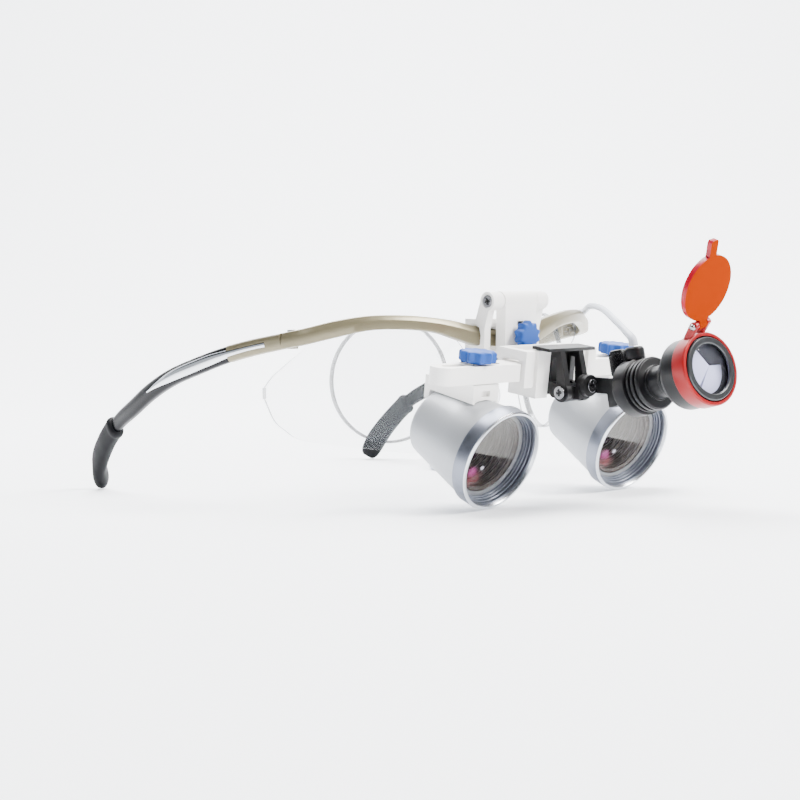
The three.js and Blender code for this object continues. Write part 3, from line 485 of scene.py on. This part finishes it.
def lead():
    """The white lead: a relief and three loops to the brow clip, then the temple, coil and plug."""
    path = route(LOOP_ROUTE, 0.5)
    total = length_of(path)
    marks = [0, RELIEF] + [RELIEF + (total - RELIEF) * k / 3 for k in (1, 2, 3)]
    walked, shares = 0, []
    for a, b in zip(path, path[1:]):
        shares.append(walked)
        walked += (b - a).length
    shares.append(walked)
    cuts = [min(range(len(path)), key=lambda i: abs(shares[i] - mark)) for mark in marks]
    stretches = [path[a:b + 1] for a, b in zip(cuts, cuts[1:])]
    pairs = [("lamp", "lamp_link"), ("lamp_link", "rail"), ("rail", "flip"), ("flip", "frame")]
    for i, (stretch, (a, b)) in enumerate(zip(stretches, pairs)):
        size = (lambda t: LEAD / 2 + 0.35 * (1 - t)**2) if i == 0 else LEAD / 2
        obj = piece("lead_relief" if i == 0 else f"lead_loop_{i}", tube(stretch, size), LEVEL, "lead_jacket",
                    None, ("lead_loop",))
        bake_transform(obj)
    turns = coil_points()
    entry = [(69.1, 89.3, TABLE + 10), (66.6, 90.9, TABLE + 6.8)]
    tail = [(COIL_EXIT, 82.5, TABLE + 1.3), (COIL_EXIT, 86.5, TABLE + 3.3),
            (COIL_EXIT, 90, TABLE + PLUG_RADIUS)]
    path = route(TEMPLE_ROUTE + entry + turns + tail, 0.5)
    obj = piece("lead_tail", tube(path, LEAD / 2, 12), LEVEL, "lead_jacket", None,
                ("lead_temple", "lead_coil"))
    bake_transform(obj)
    plug = lathe([(0, 0), (1.6, 0), (2.1, 5), (3.4, 5.6), (4, 6.6), (4, 10), (3.7, 10.4), (3.7, 11.2),
                  (4, 11.6), (4, 17), (3.5, 18), (2.75, 18), (2.75, 27.5), (1.1, 27.5), (1.1, 21), (0, 21)],
                 0.25, 48)
    at = Matrix.Translation((COIL_EXIT, COIL["y"] + 10.5, TABLE + PLUG_RADIUS))
    plug = piece("lead_plug_finished", plug, LEVEL @ at, "plug_body", "temple_left", ("lead_plug",))
    tie = tie_band()
    clips = [refined(node, "clear_plastic", 0.08) for node in ("brow_clip", "temple_clip")]


def tie_band():
    """A soft tie round the coil's bundle."""
    corners = [(5.6, 0.35), (18.2, 0.35), (18.2, 5.2), (15.6, 6.85), (10.4, 6.85), (5.6, 4.6), (5.6, 0.35)]
    half_width = 1.5
    bm = bmesh.new()
    rings = [[bm.verts.new((r, y, z)) for y in (-half_width, half_width)]
             for r, z in rounded(corners, 1.4)[:-1]]
    for a, b in zip(rings, rings[1:] + rings[:1]):
        bm.faces.new((a[0], a[1], b[1], b[0]))
    bmesh.ops.recalc_face_normals(bm, faces=bm.faces)
    bmesh.ops.solidify(bm, geom=bm.faces[:], thickness=0.35)
    at = Matrix.Translation((COIL["x"], COIL["y"], TABLE)) @ turn(215, "Z")
    return piece("lead_tie", bm, LEVEL @ at, "plug_body", "temple_left")


camera()
lead()


# ---------------------------------------------------------------- brow bar, temples, shields, insert
KNUCKLE = {"inset": 3.9, "radius": 1.7, "web": 1.2}


def hinge_leaf(side, near, far, low, high):
    """A knuckle about a temple hinge's pin, with the web that joins it to the brow line."""
    x, y, _ = brow_line(JOINT_AT + 0.15, KNUCKLE["inset"])
    web = [brow_line(side * (JOINT_AT + along), inset)[:2] for along, inset in (
        (near, KNUCKLE["web"]), (far, KNUCKLE["web"]), (far, KNUCKLE["inset"]), (near, KNUCKLE["inset"]))]
    ring = [(side * x + KNUCKLE["radius"] * math.cos(a), y + KNUCKLE["radius"] * math.sin(a))
            for a in (math.pi * k / 16 for k in range(32))]
    return [prism(web, "z", low, high), prism(ring, "z", low, high)]


def bar():
    """The brow bar: a bevelled section swept along the brow, with hinge knuckles at both ends."""
    section = [(-1, -0.72), (-1, 0.2), (-0.96, 0.34), (-0.42, 0.93), (-0.25, 1), (0.7, 1), (0.95, 0.8),
               (1, 0.6), (1, -0.6), (0.9, -0.85), (0.7, -1), (-0.6, -1), (-0.88, -0.92)]

    def at(u):
        s = (2 * u - 1) * (JOINT_AT + 0.12)
        x, y, heading = brow_line(s)
        z, half = bar_shape(abs(s))
        return (Vector((x, y, z)), Vector((-math.sin(heading), math.cos(heading), 0)), Vector((0, 0, 1)),
                (BAR_HALF, half))

    parts = [loft(at, 160, section)]
    for _, side in SIDES:
        for low, high in ((-9.4, -7.9), (-12.9, -11.4)):
            parts += hinge_leaf(side, -3, -0.1, low, high)
    piece("brow_bar_finished", merge(*parts), LEVEL, "champagne_metal", "frame", ("brow_bar",), crisp=24)


def temple_skin(side, low, high, size, steps, section):
    def at(v):
        u = low + (high - low) * v
        centre, along = temple_line(u), (temple_line(u + 1e-3) - temple_line(u - 1e-3)).normalized()
        across = along.cross(Vector((0, 0, 1))).normalized()
        rise = across.cross(along)
        thick, high_half, out = size(v)
        centre = centre + across * out
        for vector in (centre, across, rise):
            vector.x *= side
        return centre, across, rise, (thick, high_half)
    return loft(at, steps, section)


TEMPLE_SKINS = (
    # part, first and last share of the temple line, steps, look, section, and rows of
    # (share, half thickness, half height, outward shift)
    ("temple_inlay", 0.05, 0.5, 60, "chrome_trim", oval(2.4, 24), [
        (0, 0.5, 1.15, 1.45), (0.3, 0.5, 1.3, 1.5), (0.45, 0.5, 1.75, 1.5), (0.75, 0.5, 1.7, 1.5),
        (1, 0.45, 0.3, 1.4)]),
    ("temple_arm", 0.184, 0.82, 60, "smoky_gloss", oval(2.8, 32), [
        (0, 1.65, 2.6, 0), (0.2, 1.75, 2.85, 0), (0.7, 1.7, 2.9, 0), (1, 1.4, 2.2, 0)]),
    ("ear_sleeve", 0.715, 1, 64, "sleeve_rubber", oval(2.5, 32), [
        (0, 2.25, 3.35, 0), (0.012, 2.65, 3.8, 0), (0.05, 2.8, 4.05, 0), (0.08, 2.6, 3.85, 0),
        (0.3, 2.6, 3.9, 0), (0.7, 2.6, 4.1, 0), (0.9, 2.4, 3.75, 0), (0.97, 1.9, 3.0, 0), (1, 1.2, 2.1, 0)]),
)


def temples():
    for name, side in SIDES:
        body = f"temple_{name}"
        end = temple_skin(side, 0.0, 0.182, smooth([(0, 1.8, 2.5, 0), (0.5, 1.9, 2.6, 0), (1, 1.9, 2.7, 0)]),
                          24, oval(3.4, 40))
        end = merge(end, *hinge_leaf(side, 0.3, 3.2, -11.1, -9.7))
        node = f"temple_end_{name}"
        piece(f"{node}_finished", end, LEVEL, "champagne_metal", body, (node,), crisp=40)
        for part, low, high, steps, look, section, rows in TEMPLE_SKINS:
            skin = temple_skin(side, low, high, smooth(rows), steps, section)
            node = f"{part}_{name}"
            piece(f"{node}_finished", skin, LEVEL, look, body, (node,), crisp=60)


SHIELD_INSET = BAR_HALF + 0.3 + 0.9
shield_top = smooth([
    (9, -23.5), (13, -20), (16.5, -14), (21, -10.2), (30, -7.7), (40, -6.6), (50, -6.4), (61, -8.4),
    (68, -10.5), (72.5, -14), (80, -18), (86, -21.6), (90, -25)])
shield_foot = smooth([
    (9, -30), (11, -37), (14, -43), (19, -46), (29, -46.9), (40, -46.2), (55, -43.9), (68, -41.9),
    (76, -40.4), (81, -38.2), (86, -35), (90, -28.5)])


def shields():
    """Two clear side shields; of each section's 18 faces, 7 and 16 are the top and foot edges."""
    steps, around, edges = 96, 18, (7, 16)
    for name, side in SIDES:
        bm = bmesh.new()
        rings = []
        for i in range(steps + 1):
            s = 9 + 81 * (0.5 - 0.5 * math.cos(math.pi * i / steps))
            top, foot = shield_top(s)[0], shield_foot(s)[0]
            ring = []
            for inset, flip in ((-0.8, False), (0.8, True)):
                x, y, _ = brow_line(side * s, SHIELD_INSET + inset)
                heights = [foot + (top - foot) * t for t in (0.012, 0.1, 0.3, 0.5, 0.7, 0.9, 0.988)]
                ring += [bm.verts.new((x, y, z)) for z in (reversed(heights) if flip else heights)]
                x, y, _ = brow_line(side * s, SHIELD_INSET + inset * 0.4)
                ring.append(bm.verts.new((x, y, foot if flip else top)))
                x, y, _ = brow_line(side * s, SHIELD_INSET - inset * 0.4)
                ring.append(bm.verts.new((x, y, foot if flip else top)))
            rings.append(ring)
        bridge(bm, rings)
        for ring in (rings[0], rings[-1]):
            bm.faces.new(ring)
        piece(f"shield_{name}_finished", bm, LEVEL, "clear_plastic", "frame", (f"shield_{name}",), crisp=40,
              second="clear_edge",
              where=lambda face: face.index % around in edges or face.index >= steps * around)


INSERT = {"s": 40.5, "inset": 9, "z": -24, "radius": 19.8}


def insert():
    """Two round correction lenses in slim rims, joined by an arched bridge."""
    r = INSERT["radius"]
    rims, parts = [], []
    for _, side in SIDES:
        x, y, heading = brow_line(side * INSERT["s"], INSERT["inset"])
        at = Matrix.Translation((x, y, INSERT["z"])) @ turn(math.degrees(heading), "Z")
        rim = lathe([(r - 0.9, -0.3), (r, -0.3), (r, 1.5), (r - 0.9, 1.5), (r - 0.9, -0.3)], 0.25)
        eye = lathe([(0, 0), (r - 0.7, 0), (r - 0.7, 1.2), (0, 1.2)], 0, 96)
        for bm in (rim, eye):
            bm.transform(at)
        rims.append(rim)
        parts.append(eye)
    arch = [Vector((40.4 * (u - 0.5), 14.8, -17 + 8 * math.cos(math.pi * (u - 0.5))))
            for u in (i / 40 for i in range(41))]
    parts.append(tube(arch, 1.0, 16))
    count = sum(len(rim.faces) for rim in rims)
    piece("rx_insert_finished", merge(*rims, *parts), LEVEL, "clear_plastic", "frame", ("rx_insert",),
          crisp=40, second="clear_edge",
          where=lambda face: face.index < count and 0.25 < abs(face.normal.y) < 0.95)


def nose_rests():
    for name, side in SIDES:
        def at(u):
            t = 2 * u - 1
            swell = math.sqrt(max(1 - t * t, 0.003))
            centre = Vector((side * (9 - 2.2 * t), 21 + 0.8 * t * t, -29 + 6.5 * t))
            across, up = Vector((side * 0.75, 0.66, 0)), Vector((-side * 0.66, 0.75, 0))
            return centre, across, up, (1.2 * swell, 3.4 * swell)
        piece(f"nose_pad_{name}_finished", loft(at, 32, oval(2, 32)), LEVEL, "clear_plastic", "frame",
              (f"nose_pad_{name}",), crisp=60, second="clear_rim", where=lambda face: face.index % 4 != 0)
        bend = [(5.5, 8.3, -13.5), (5.5, 11.5, -13.6), (6.4, 13.8, -16), (7.6, 14.8, -20), (8.4, 16, -24.5),
                (8.8, 18.3, -27.5)]
        wire = tube(route([(side * x, y, z) for x, y, z in bend], 0.4), 0.6)
        piece(f"nose_wire_{name}_finished", wire, LEVEL, "steel", "frame", (f"nose_wire_{name}",))


bar()
temples()
shields()
insert()
nose_rests()


# ---------------------------------------------------------------- bridge, carriage, rail and knobs
def knob(name, place, body, node, radius, lobes, depth, height, collar):
    """A lobed thumb knob about Z, from its seat at 0 up to height."""
    steps = 16 * lobes

    def ring(z, inset):
        points = []
        for i in range(steps):
            a = 2 * math.pi * i / steps
            r = radius - inset - depth * (0.5 + 0.5 * math.cos(lobes * a)) ** 0.7
            points.append((r * math.cos(a), r * math.sin(a), z))
        return points

    bm = bmesh.new()
    levels = [(collar, 0.9), (collar + 0.1, 0.35), (collar + 0.4, 0.05), (collar + 0.7, 0), (height - 0.8, 0),
              (height - 0.4, 0.1), (height - 0.12, 0.38), (height, 0.85), (height - 0.02, 1.6)]
    rings = [[bm.verts.new(p) for p in ring(z, inset)] for z, inset in levels]
    rings = [[bm.verts.new((0, 0, collar))]] + rings + [[bm.verts.new((0, 0, height - 0.04))]]
    bridge(bm, rings)
    seat = lathe([(0, 0), (0.55 * radius, 0), (0.55 * radius, collar + 0.3), (0, collar + 0.3)], 0.1, 48)
    seat.transform(turn(90, "X"))
    piece(name, merge(bm, seat), place, "blue_plastic", body, (node,), crisp=50)


def crosses():
    """Near-black crosses set into the heads of the visible screws: painted shade of their Phillips recesses.
    """
    for name, node, axis, sign, size in (
        ("axle_right", "flip_axle", 0, -1, 2.5), ("axle_left", "flip_axle", 0, 1, 2.5),
        ("tilt", "tilt_screw", 0, -1, 2.0), ("swivel", "swivel_screw", 1, -1, 2.0),
    ):
        low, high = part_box(node)
        at = (low + high) / 2
        at[axis] = high[axis] if sign > 0 else low[axis]
        face = Vector((0, 0, 0))
        face[axis] = sign
        facing = face.to_track_quat("Z", "Y").to_matrix().to_4x4()
        place = Matrix.Translation(at) @ facing @ Matrix.Scale(0.001, 4)
        bars = []
        for angle in (25, 115):
            corners = [(-size / 2, -0.24), (size / 2, -0.24), (size / 2, 0.24), (-size / 2, 0.24)]
            slot = prism(corners, "z", -0.3, 0.03)
            slot.transform(turn(angle, "Z"))
            bars.append(slot)
        piece(f"recess_{name}", merge(*bars), place, "painted_recess_shade", frame["nodes"][node]["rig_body"])


def middle():
    for node in ("bridge_clamp", "flip_plate"):
        refined(node, "white_plastic", 0.45)
    for node in ("carriage", "cross_rail", "saddle_right", "saddle_left"):
        refined(node, "white_plastic", 0.35)
    for node in ("lamp_bracket", "lamp_link", "lamp_yoke"):
        refined(node, "black_plastic", 0.22)
    for node in ("flip_axle", "tilt_screw", "swivel_screw", "temple_screw_right", "temple_screw_left"):
        refined(node, "steel", 0.08)
    crosses()
    face = LEANING @ Matrix.Translation((0, -3.1, -11)) @ turn(90, "X")
    knob("knob_centre_finished", face, "centre_knob", "knob_centre", 4.9, 10, 0.85, 4.1, 0.8)
    for name, side in SIDES:
        top = NODDING @ Matrix.Translation((side * 32.3, -14.8, -17.8))
        knob(f"knob_{name}_finished", top, f"knob_{name}", f"knob_{name}", 5.8, 10, 0.95, 3.9, 0.4)
    for node in ("stud_centre", "stud_right", "stud_left"):
        frame["nodes"][node].data.materials[0] = LOOKS["steel"]


middle()


# ---------------------------------------------------------------- loupes
def lens_with_painted_reflections(name, place):
    """Coated glass with a soft light's reflection painted above, and coloured ghost reflections and a glint
    painted below.
    """
    material = finish(name, (0.04, 0.03, 0.045), 0.03, bump=0.0, spread=0.01, mottle=0.0, Coat_Weight=0.4)
    nodes, links = material.node_tree.nodes, material.node_tree.links
    shader, spot = nodes["Principled BSDF"], nodes.new("ShaderNodeTexCoord").outputs["Object"]
    centre = place @ Vector((0, 1.5, 0))

    def ranged(value, low, high, to_low=0.0, to_high=1.0):
        node = nodes.new("ShaderNodeMapRange")
        node.interpolation_type = "SMOOTHSTEP"
        ends = {"From Min": low, "From Max": high, "To Min": to_low, "To Max": to_high}
        for socket, number in ends.items():
            node.inputs[socket].default_value = number
        links.new(value, node.inputs["Value"])
        return node.outputs["Result"]

    def along(direction):
        away = nodes.new("ShaderNodeVectorMath")
        away.operation = "SUBTRACT"
        away.inputs[1].default_value = centre
        links.new(spot, away.inputs[0])
        dot = nodes.new("ShaderNodeVectorMath")
        dot.operation = "DOT_PRODUCT"
        dot.inputs[1].default_value = direction
        links.new(away.outputs["Vector"], dot.inputs[0])
        return dot.outputs["Value"]

    def blob(x, z, inner, outer):
        gap = nodes.new("ShaderNodeVectorMath")
        gap.operation = "DISTANCE"
        gap.inputs[1].default_value = place @ Vector((x, 1.9, z))
        links.new(spot, gap.inputs[0])
        return ranged(gap.outputs["Value"], inner * 0.001, outer * 0.001, 1, 0)

    def maths(operation, a, b):
        node = nodes.new("ShaderNodeMath")
        node.operation = operation
        for socket, value in zip(node.inputs, (a, b)):
            if isinstance(value, float):
                socket.default_value = value
            else:
                links.new(value, socket)
        return node.outputs["Value"]

    def mixed(factor, under, over):
        node = nodes.new("ShaderNodeMix")
        node.data_type = "RGBA"
        links.new(factor, node.inputs["Factor"])
        if isinstance(under, tuple):
            node.inputs["A"].default_value = under
        else:
            links.new(under, node.inputs["A"])
        node.inputs["B"].default_value = over
        return node.outputs["Result"]

    # Painted reflections, fixed in the lens: a soft light's band across the top that fades towards the right,
    # a red glow, a magenta ghost and a pale glint.
    sky = ranged(along(VIEW_UP * 0.985 + VIEW_RIGHT * 0.2), 0.0006, 0.0009)
    fade = ranged(along(VIEW_RIGHT - VIEW_UP * 0.25), -0.0085, 0.009, 0.62, 0.10)
    sky = maths("MULTIPLY", sky, fade)
    ghost, glow, painted_glint = blob(-9.6, -3.6, 0.6, 2.6), blob(-8.4, -6.2, 1.0, 4.6), blob(-6.2, -2.4, 0.3, 1.2)
    color = mixed(glow, (0.105, 0.098, 0.088, 1), (0.16, 0.012, 0.02, 1))
    color = mixed(ghost, color, (0.40, 0.015, 0.22, 1))
    color = mixed(painted_glint, color, (0.45, 0.43, 0.50, 1))
    alpha = maths("MAXIMUM", maths("MAXIMUM", sky, maths("MULTIPLY", glow, 0.4)),
                  maths("MAXIMUM", maths("MULTIPLY", ghost, 0.6), maths("MULTIPLY", painted_glint, 0.8)))
    alpha = maths("MAXIMUM", alpha, 0.06)
    links.new(color, shader.inputs["Base Color"])
    links.new(alpha, shader.inputs["Alpha"])
    return material


def loupes():
    for name, _ in SIDES:
        body, place = f"loupe_{name}", LOUPE[name]
        ring = lathe([(13.6, 5), (13.6, 4.2), (13.9, 4.2), (13.9, 3.4), (14.2, 3.4), (14.2, 2.4), (14.5, 2.4),
                      (14.5, 1.4), (14.8, 0.7), (15.1, 0), (15.65, 0), (16.15, 0.5), (16.15, 5), (13.6, 5)],
                     0.12, 128)
        piece(f"objective_ring_{name}_finished", ring, place, "satin_ring", body, (f"objective_ring_{name}",),
              crisp=28, second="bright_lip",
              where=lambda face: 14.7 < face.calc_center_median().xz.length < 15.9)
        barrel = lathe([(12.6, 5.3), (15.5, 5.3), (11.3, 28), (11.1, 28.8), (10.3, 29.8), (8.6, 29.8),
                        (8.6, 27.6), (9.4, 27.6), (9.4, 23), (12.6, 8), (12.6, 5.3)], 0.2, 128)
        piece(f"barrel_{name}_finished", barrel, place, "silver_alloy", body, (f"barrel_{name}",), crisp=28)
        front = lathe([(0, 1.5)] + [(r, 1.5 + r * r / 110) for r in (2, 4, 6, 8, 10, 12, 13.4)]
                      + [(13.4, 4.2), (12, 4.0), (8, 3.6), (4, 3.4), (0, 3.3)], 0, 128)
        LOOKS[f"objective_{name}"] = lens_with_painted_reflections(f"objective_{name}", place)
        obj = piece(f"objective_{name}_finished", front, place, f"objective_{name}", body,
                    (f"objective_{name}",), crisp=40)
        steps = [(12.4, 5.4)]
        for k in range(7):
            y, taper = 5.8 + 2.2 * k, 0.42 * k
            steps += [(12.2 - taper, y), (11.3 - taper, y + 0.25), (11.3 - taper, y + 0.8),
                      (12.0 - taper, y + 1.6)]
        baffle = lathe(steps + [(8.8, 22), (0, 22), (0, 22.6), (9.2, 22.6), (12.5, 7.2), (12.4, 5.4)], 0, 96)
        piece(f"baffle_{name}", baffle, place, "baffle_black", body, crisp=30)
        inner = lathe([(0, 11.5)] + [(r, 11.5 + r * r / 22) for r in range(1, 9)] + [(8.2, 21.4), (0, 21.4)],
                      0, 64)
        piece(f"field_lens_{name}", inner, place, "purple_coat", body, crisp=40)
        rear = lathe([(0, 26.9), (4, 27), (9.1, 27.3), (9.1, 25.4), (0, 24.4)], 0, 64)
        piece(f"eyepiece_{name}_finished", rear, place, "coated_glass", body, (f"eyepiece_{name}",), crisp=40)


loupes()


# ---------------------------------------------------------------- headlight
def headlight():
    """The lamp: finned housing, head, bezel, lens with glowing wedges painted as its facets' reflections,
    emitter, gland, screw and filter.
    """
    housing = lathe([
        (0, 17.4), (4.9, 17.4), (4.9, 22.0), (5.4, 22.0), (5.4, 22.7), (7.6, 22.7), (8.1, 23.1), (8.1, 23.9),
        (7.2, 23.9), (7.2, 24.8), (8.1, 24.8), (8.1, 25.9), (7.2, 25.9), (7.2, 26.8), (8.1, 26.8),
        (8.1, 27.7), (7.4, 27.9), (7.4, 28.3), (8.75, 28.4), (8.75, 33.1), (8.2, 33.6), (2.6, 33.6),
        (2.6, 40.4), (0, 40.4),
    ], 0.12, 128)
    piece("lamp_housing_finished", housing, LAMP, "black_alloy", "lamp", ("lamp_housing",), crisp=28)
    head = lathe([
        (0, 16.8), (5.6, 17.1), (5.7, 16), (6.0, 15.2), (6.6, 14.2), (7.8, 13), (9.6, 11.6), (10.2, 10.9),
        (10.4, 10.2), (10.4, 5.5), (9.3, 5.5), (9.3, 2.6), (8.6, 2.6), (8.6, 9.5), (5, 13.2), (0, 13.2),
    ], 0.12, 128)
    piece("lamp_head_finished", head, LAMP, "black_alloy", "lamp", ("lamp_head",), crisp=28)
    bezel = lathe([(7.4, 0.2), (7.7, 0), (9.1, 0), (9.4, 0.3), (9.4, 2.2), (8.5, 2.2), (7.4, 0.8),
                   (7.4, 0.2)], 0.08, 128)
    piece("lamp_bezel_finished", bezel, LAMP, "gunmetal", "lamp", ("lamp_bezel",), crisp=28)
    lens = lathe([(0, 1.0)] + [(r, 1.0 + r * r / 60) for r in (1.5, 3, 4.5, 6, 7.3)] + [
        (8.2, 2.4), (8.2, 4.2), (7.4, 4.2), (6.4, 4.9), (4.6, 7.2), (3.4, 9.0), (2.6, 9.6), (0, 9.2)], 0, 96)
    piece("lamp_lens_finished", lens, LAMP, "lamp_glass", "lamp", ("lamp_lens",), crisp=40)
    # Two faintly glowing wedges behind the lens glass: painted reflections in the lens's facets.
    apex, reach = (2.3, 1.3), 7.0
    fans = []
    for start, stop in ((110, 236), (244, 372)):
        angles = [math.radians(start + (stop - start) * k / 24) for k in range(25)]
        fan = [apex] + [(reach * math.cos(a), reach * math.sin(a)) for a in angles]
        fans.append(prism(fan, "y", 3.1, 4.0))
    piece("lamp_lens_painted_reflections", merge(*fans), LAMP, "lamp_painted_reflection", "lamp", crisp=30)
    emitter = lathe([(0, 11.3), (0.7, 11.45), (1.2, 11.9), (1.25, 12.2), (3.6, 12.2), (3.6, 12.9), (0, 12.9)],
                    0.05, 48)
    piece("lamp_emitter_finished", emitter, LAMP, "led_phosphor", "lamp", ("lamp_emitter",), crisp=40)
    gland = lathe([(0, 7), (2.2, 7), (2.2, 8.6), (3.05, 8.6), (3.05, 11.6), (2.6, 12.3), (1.15, 12.3),
                   (1.15, 11.8), (0, 11.8)], 0.15, 64)
    upright = Matrix.Translation((0, 30.2, 0)) @ turn(90, "X")
    piece("cable_gland_finished", gland, LAMP @ upright, "black_alloy", "lamp", ("cable_gland",), crisp=30)
    thumbscrew()
    filter_parts()


def thumbscrew():
    """A thumbscrew with a diamond knurl and a domed top, about the lamp's Z."""
    low, high, radius, around, rows = 4.7, 13, 3.0, 144, 44
    bm = bmesh.new()
    rings = [[bm.verts.new((0, 0, low))]]
    for j in range(rows + 1):
        z = low + (high - 0.7 - low) * j / rows
        fade = min(1, 6 * j / rows, 6 * (rows - j) / rows)
        ring = []
        for i in range(around):
            a = 2 * math.pi * i / around
            ridge = abs(math.sin(12 * a + 2.6 * z)) * abs(math.sin(12 * a - 2.6 * z))
            r = radius - 0.42 + 0.5 * ridge * fade
            ring.append(bm.verts.new((r * math.cos(a), r * math.sin(a), z)))
        rings.append(ring)
    angles = [2 * math.pi * i / around for i in range(around)]
    for z, r in ((high - 0.4, 2.5), (high - 0.12, 2.0), (high - 0.02, 1.1)):
        rings.append([bm.verts.new((r * math.cos(a), r * math.sin(a), z)) for a in angles])
    rings.append([bm.verts.new((0, 0, high))])
    bridge(bm, rings)
    shank = tube([Vector((0, 0, 2.9)), Vector((0, 0, 5.2))], 1.1, 32)
    place = LAMP @ Matrix.Translation((0, 37.5, 0))
    piece("thumbscrew_finished", merge(bm, shank), place, "black_alloy", "lamp_thumbscrew", ("thumbscrew",),
          crisp=35)


def filter_parts():
    """The red collar with two lugs, its pin, and the orange disc that hangs on it."""
    collar = lathe([(9.75, 0.4), (10.6, 0.4), (10.9, 0.8), (10.9, 5.2), (9.7, 5.2), (9.75, 0.4)], 0.15, 128)
    for low, high in ((-3.2, -1.9), (1.9, 3.2)):
        lug = [(1.2, 10.0), (4, 9.9), (3.4, 11), (0.2, 13.6)]
        lug += [(HINGE_Y + 1.45 * math.cos(a), HINGE_Z + 1.45 * math.sin(a))
                for a in (math.radians(60 + 15 * k) for k in range(10))]
        lug = prism(lug, "x", low, high)
        soften(lug, 0.15)
        collar = merge(collar, lug)
    piece("filter_collar_finished", collar, TURRET, "red_alloy", "collar", ("filter_collar",), crisp=30)
    pin = lathe([(0, -4.3), (0.5, -4.25), (0.85, -4.0), (0.95, -3.7), (0.95, -3.35), (0.5, -3.3), (0.5, 3.3),
                 (0.8, 3.35), (0.8, 3.6), (0, 3.7)], 0.05, 32)
    across = Matrix.Translation((0, HINGE_Y, HINGE_Z)) @ turn(-90, "Z")
    piece("filter_pin_finished", pin, TURRET @ across, "steel", "collar", ("filter_pin",))
    radius, half = FILTER["radius"], FILTER["thick"] / 2
    middle_z = -(radius + FILTER["reach"])
    foot = -(2 * radius + FILTER["reach"] + FILTER["tab"])
    lean_in = math.asin(1.5 / radius)
    angles = [lean_in + (math.pi - 2 * lean_in) * k / 64 for k in range(65)]
    half_outline = [(1.5, -0.6), (1.5, -(FILTER["reach"] + 0.1))]
    half_outline += [(radius * math.sin(a), middle_z + radius * math.cos(a)) for a in angles]
    half_outline += [(1.5, foot + 0.5), (1.0, foot)]
    outline = [(-x, z) for x, z in half_outline] + half_outline[::-1]
    disc = prism(outline, "y", -half, half)
    soften(disc, 0.28, 50)
    eye = tube([Vector((-1.6, 0, 0)), Vector((1.6, 0, 0))], 1.25, 32)
    place = TURRET @ Matrix.Translation((0, HINGE_Y, HINGE_Z)) @ turn(-FILTER["open"], "X")
    piece("filter_disc_finished", merge(disc, eye), place, "filter_acrylic", "filter", ("filter_disc",),
          crisp=30, second="filter_edge", where=lambda face: abs(face.normal.y) < 0.6)


headlight()


# ---------------------------------------------------------------- studio
def backdrop():
    """A pale floor that curves up behind the object, square to the camera's view."""
    bm = bmesh.new()
    bend, front, top, half_width = 0.5, -2.2, 2.4, 2.4
    angles = [math.radians(6 * k) for k in range(1, 16)]
    profile = [(front, 0.0), (bend, 0.0)]
    profile += [(bend + bend * math.sin(a), bend - bend * math.cos(a)) for a in angles]
    profile += [(2 * bend, top)]
    heading = Vector((-VIEW_BACK.x, -VIEW_BACK.y, 0)).normalized()
    side = Vector((heading.y, -heading.x, 0))
    rings = [[bm.verts.new(heading * along + side * w + Vector((0, 0, z - 0.0002))) for along, z in profile]
             for w in (-half_width, half_width)]
    for a, b in zip(zip(rings[0], rings[0][1:]), zip(rings[1], rings[1][1:])):
        bm.faces.new((a[0], a[1], b[1], b[0]))
    mesh = bpy.data.meshes.new("backdrop")
    bm.to_mesh(mesh)
    bm.free()
    mesh.shade_smooth()
    mesh.materials.append(finish("backdrop", (0.86, 0.87, 0.89), 0.8, bump=0.0, mottle=0.004,
                                 Specular_IOR_Level=0.1, Emission_Color=(0.90, 0.94, 1, 1),
                                 Emission_Strength=0.6))
    obj = bpy.data.objects.new("backdrop", mesh)
    bpy.context.scene.collection.objects.link(obj)


def lights():
    """Soft square lights that face the object."""
    target = Vector((0, -0.03, 0.04))
    for name, at, size, power, tint in (
        ("key", (0.5, -0.95, 1.0), 0.6, 62, (1, 0.99, 0.97)),
        ("top", (0.25, 0.45, 1.2), 1.0, 78, (1, 1, 1)),
        ("strip", (-0.9, -0.2, 1.0), 0.4, 2, (0.93, 0.96, 1)),
    ):
        light = bpy.data.lights.new(name, "AREA")
        light.shape = "SQUARE"
        light.size = size
        light.energy = power
        light.color = tint
        lamp = bpy.data.objects.new(name, light)
        facing = (target - Vector(at)).to_track_quat("-Z", "Y")
        lamp.matrix_world = Matrix.Translation(at) @ facing.to_matrix().to_4x4()
        bpy.context.scene.collection.objects.link(lamp)


def surroundings():
    """Dim light from above and a pale band along the horizon."""
    world = bpy.data.worlds.new("world")
    world.use_nodes = True
    nodes, links = world.node_tree.nodes, world.node_tree.links
    sky = nodes["Background"]
    sky.inputs["Color"].default_value = (0.9, 0.94, 1, 1)
    place = nodes.new("ShaderNodeTexCoord")
    height = nodes.new("ShaderNodeSeparateXYZ")
    links.new(place.outputs["Generated"], height.inputs["Vector"])
    glow = nodes.new("ShaderNodeMapRange")
    for socket, value in (("From Min", 0.1), ("From Max", 0.22), ("To Min", 0.85), ("To Max", 0.07)):
        glow.inputs[socket].default_value = value
    links.new(height.outputs["Z"], glow.inputs["Value"])
    links.new(glow.outputs["Result"], sky.inputs["Strength"])
    bpy.context.scene.world = world


backdrop()
lights()
surroundings()
bpy.context.view_layer.update()
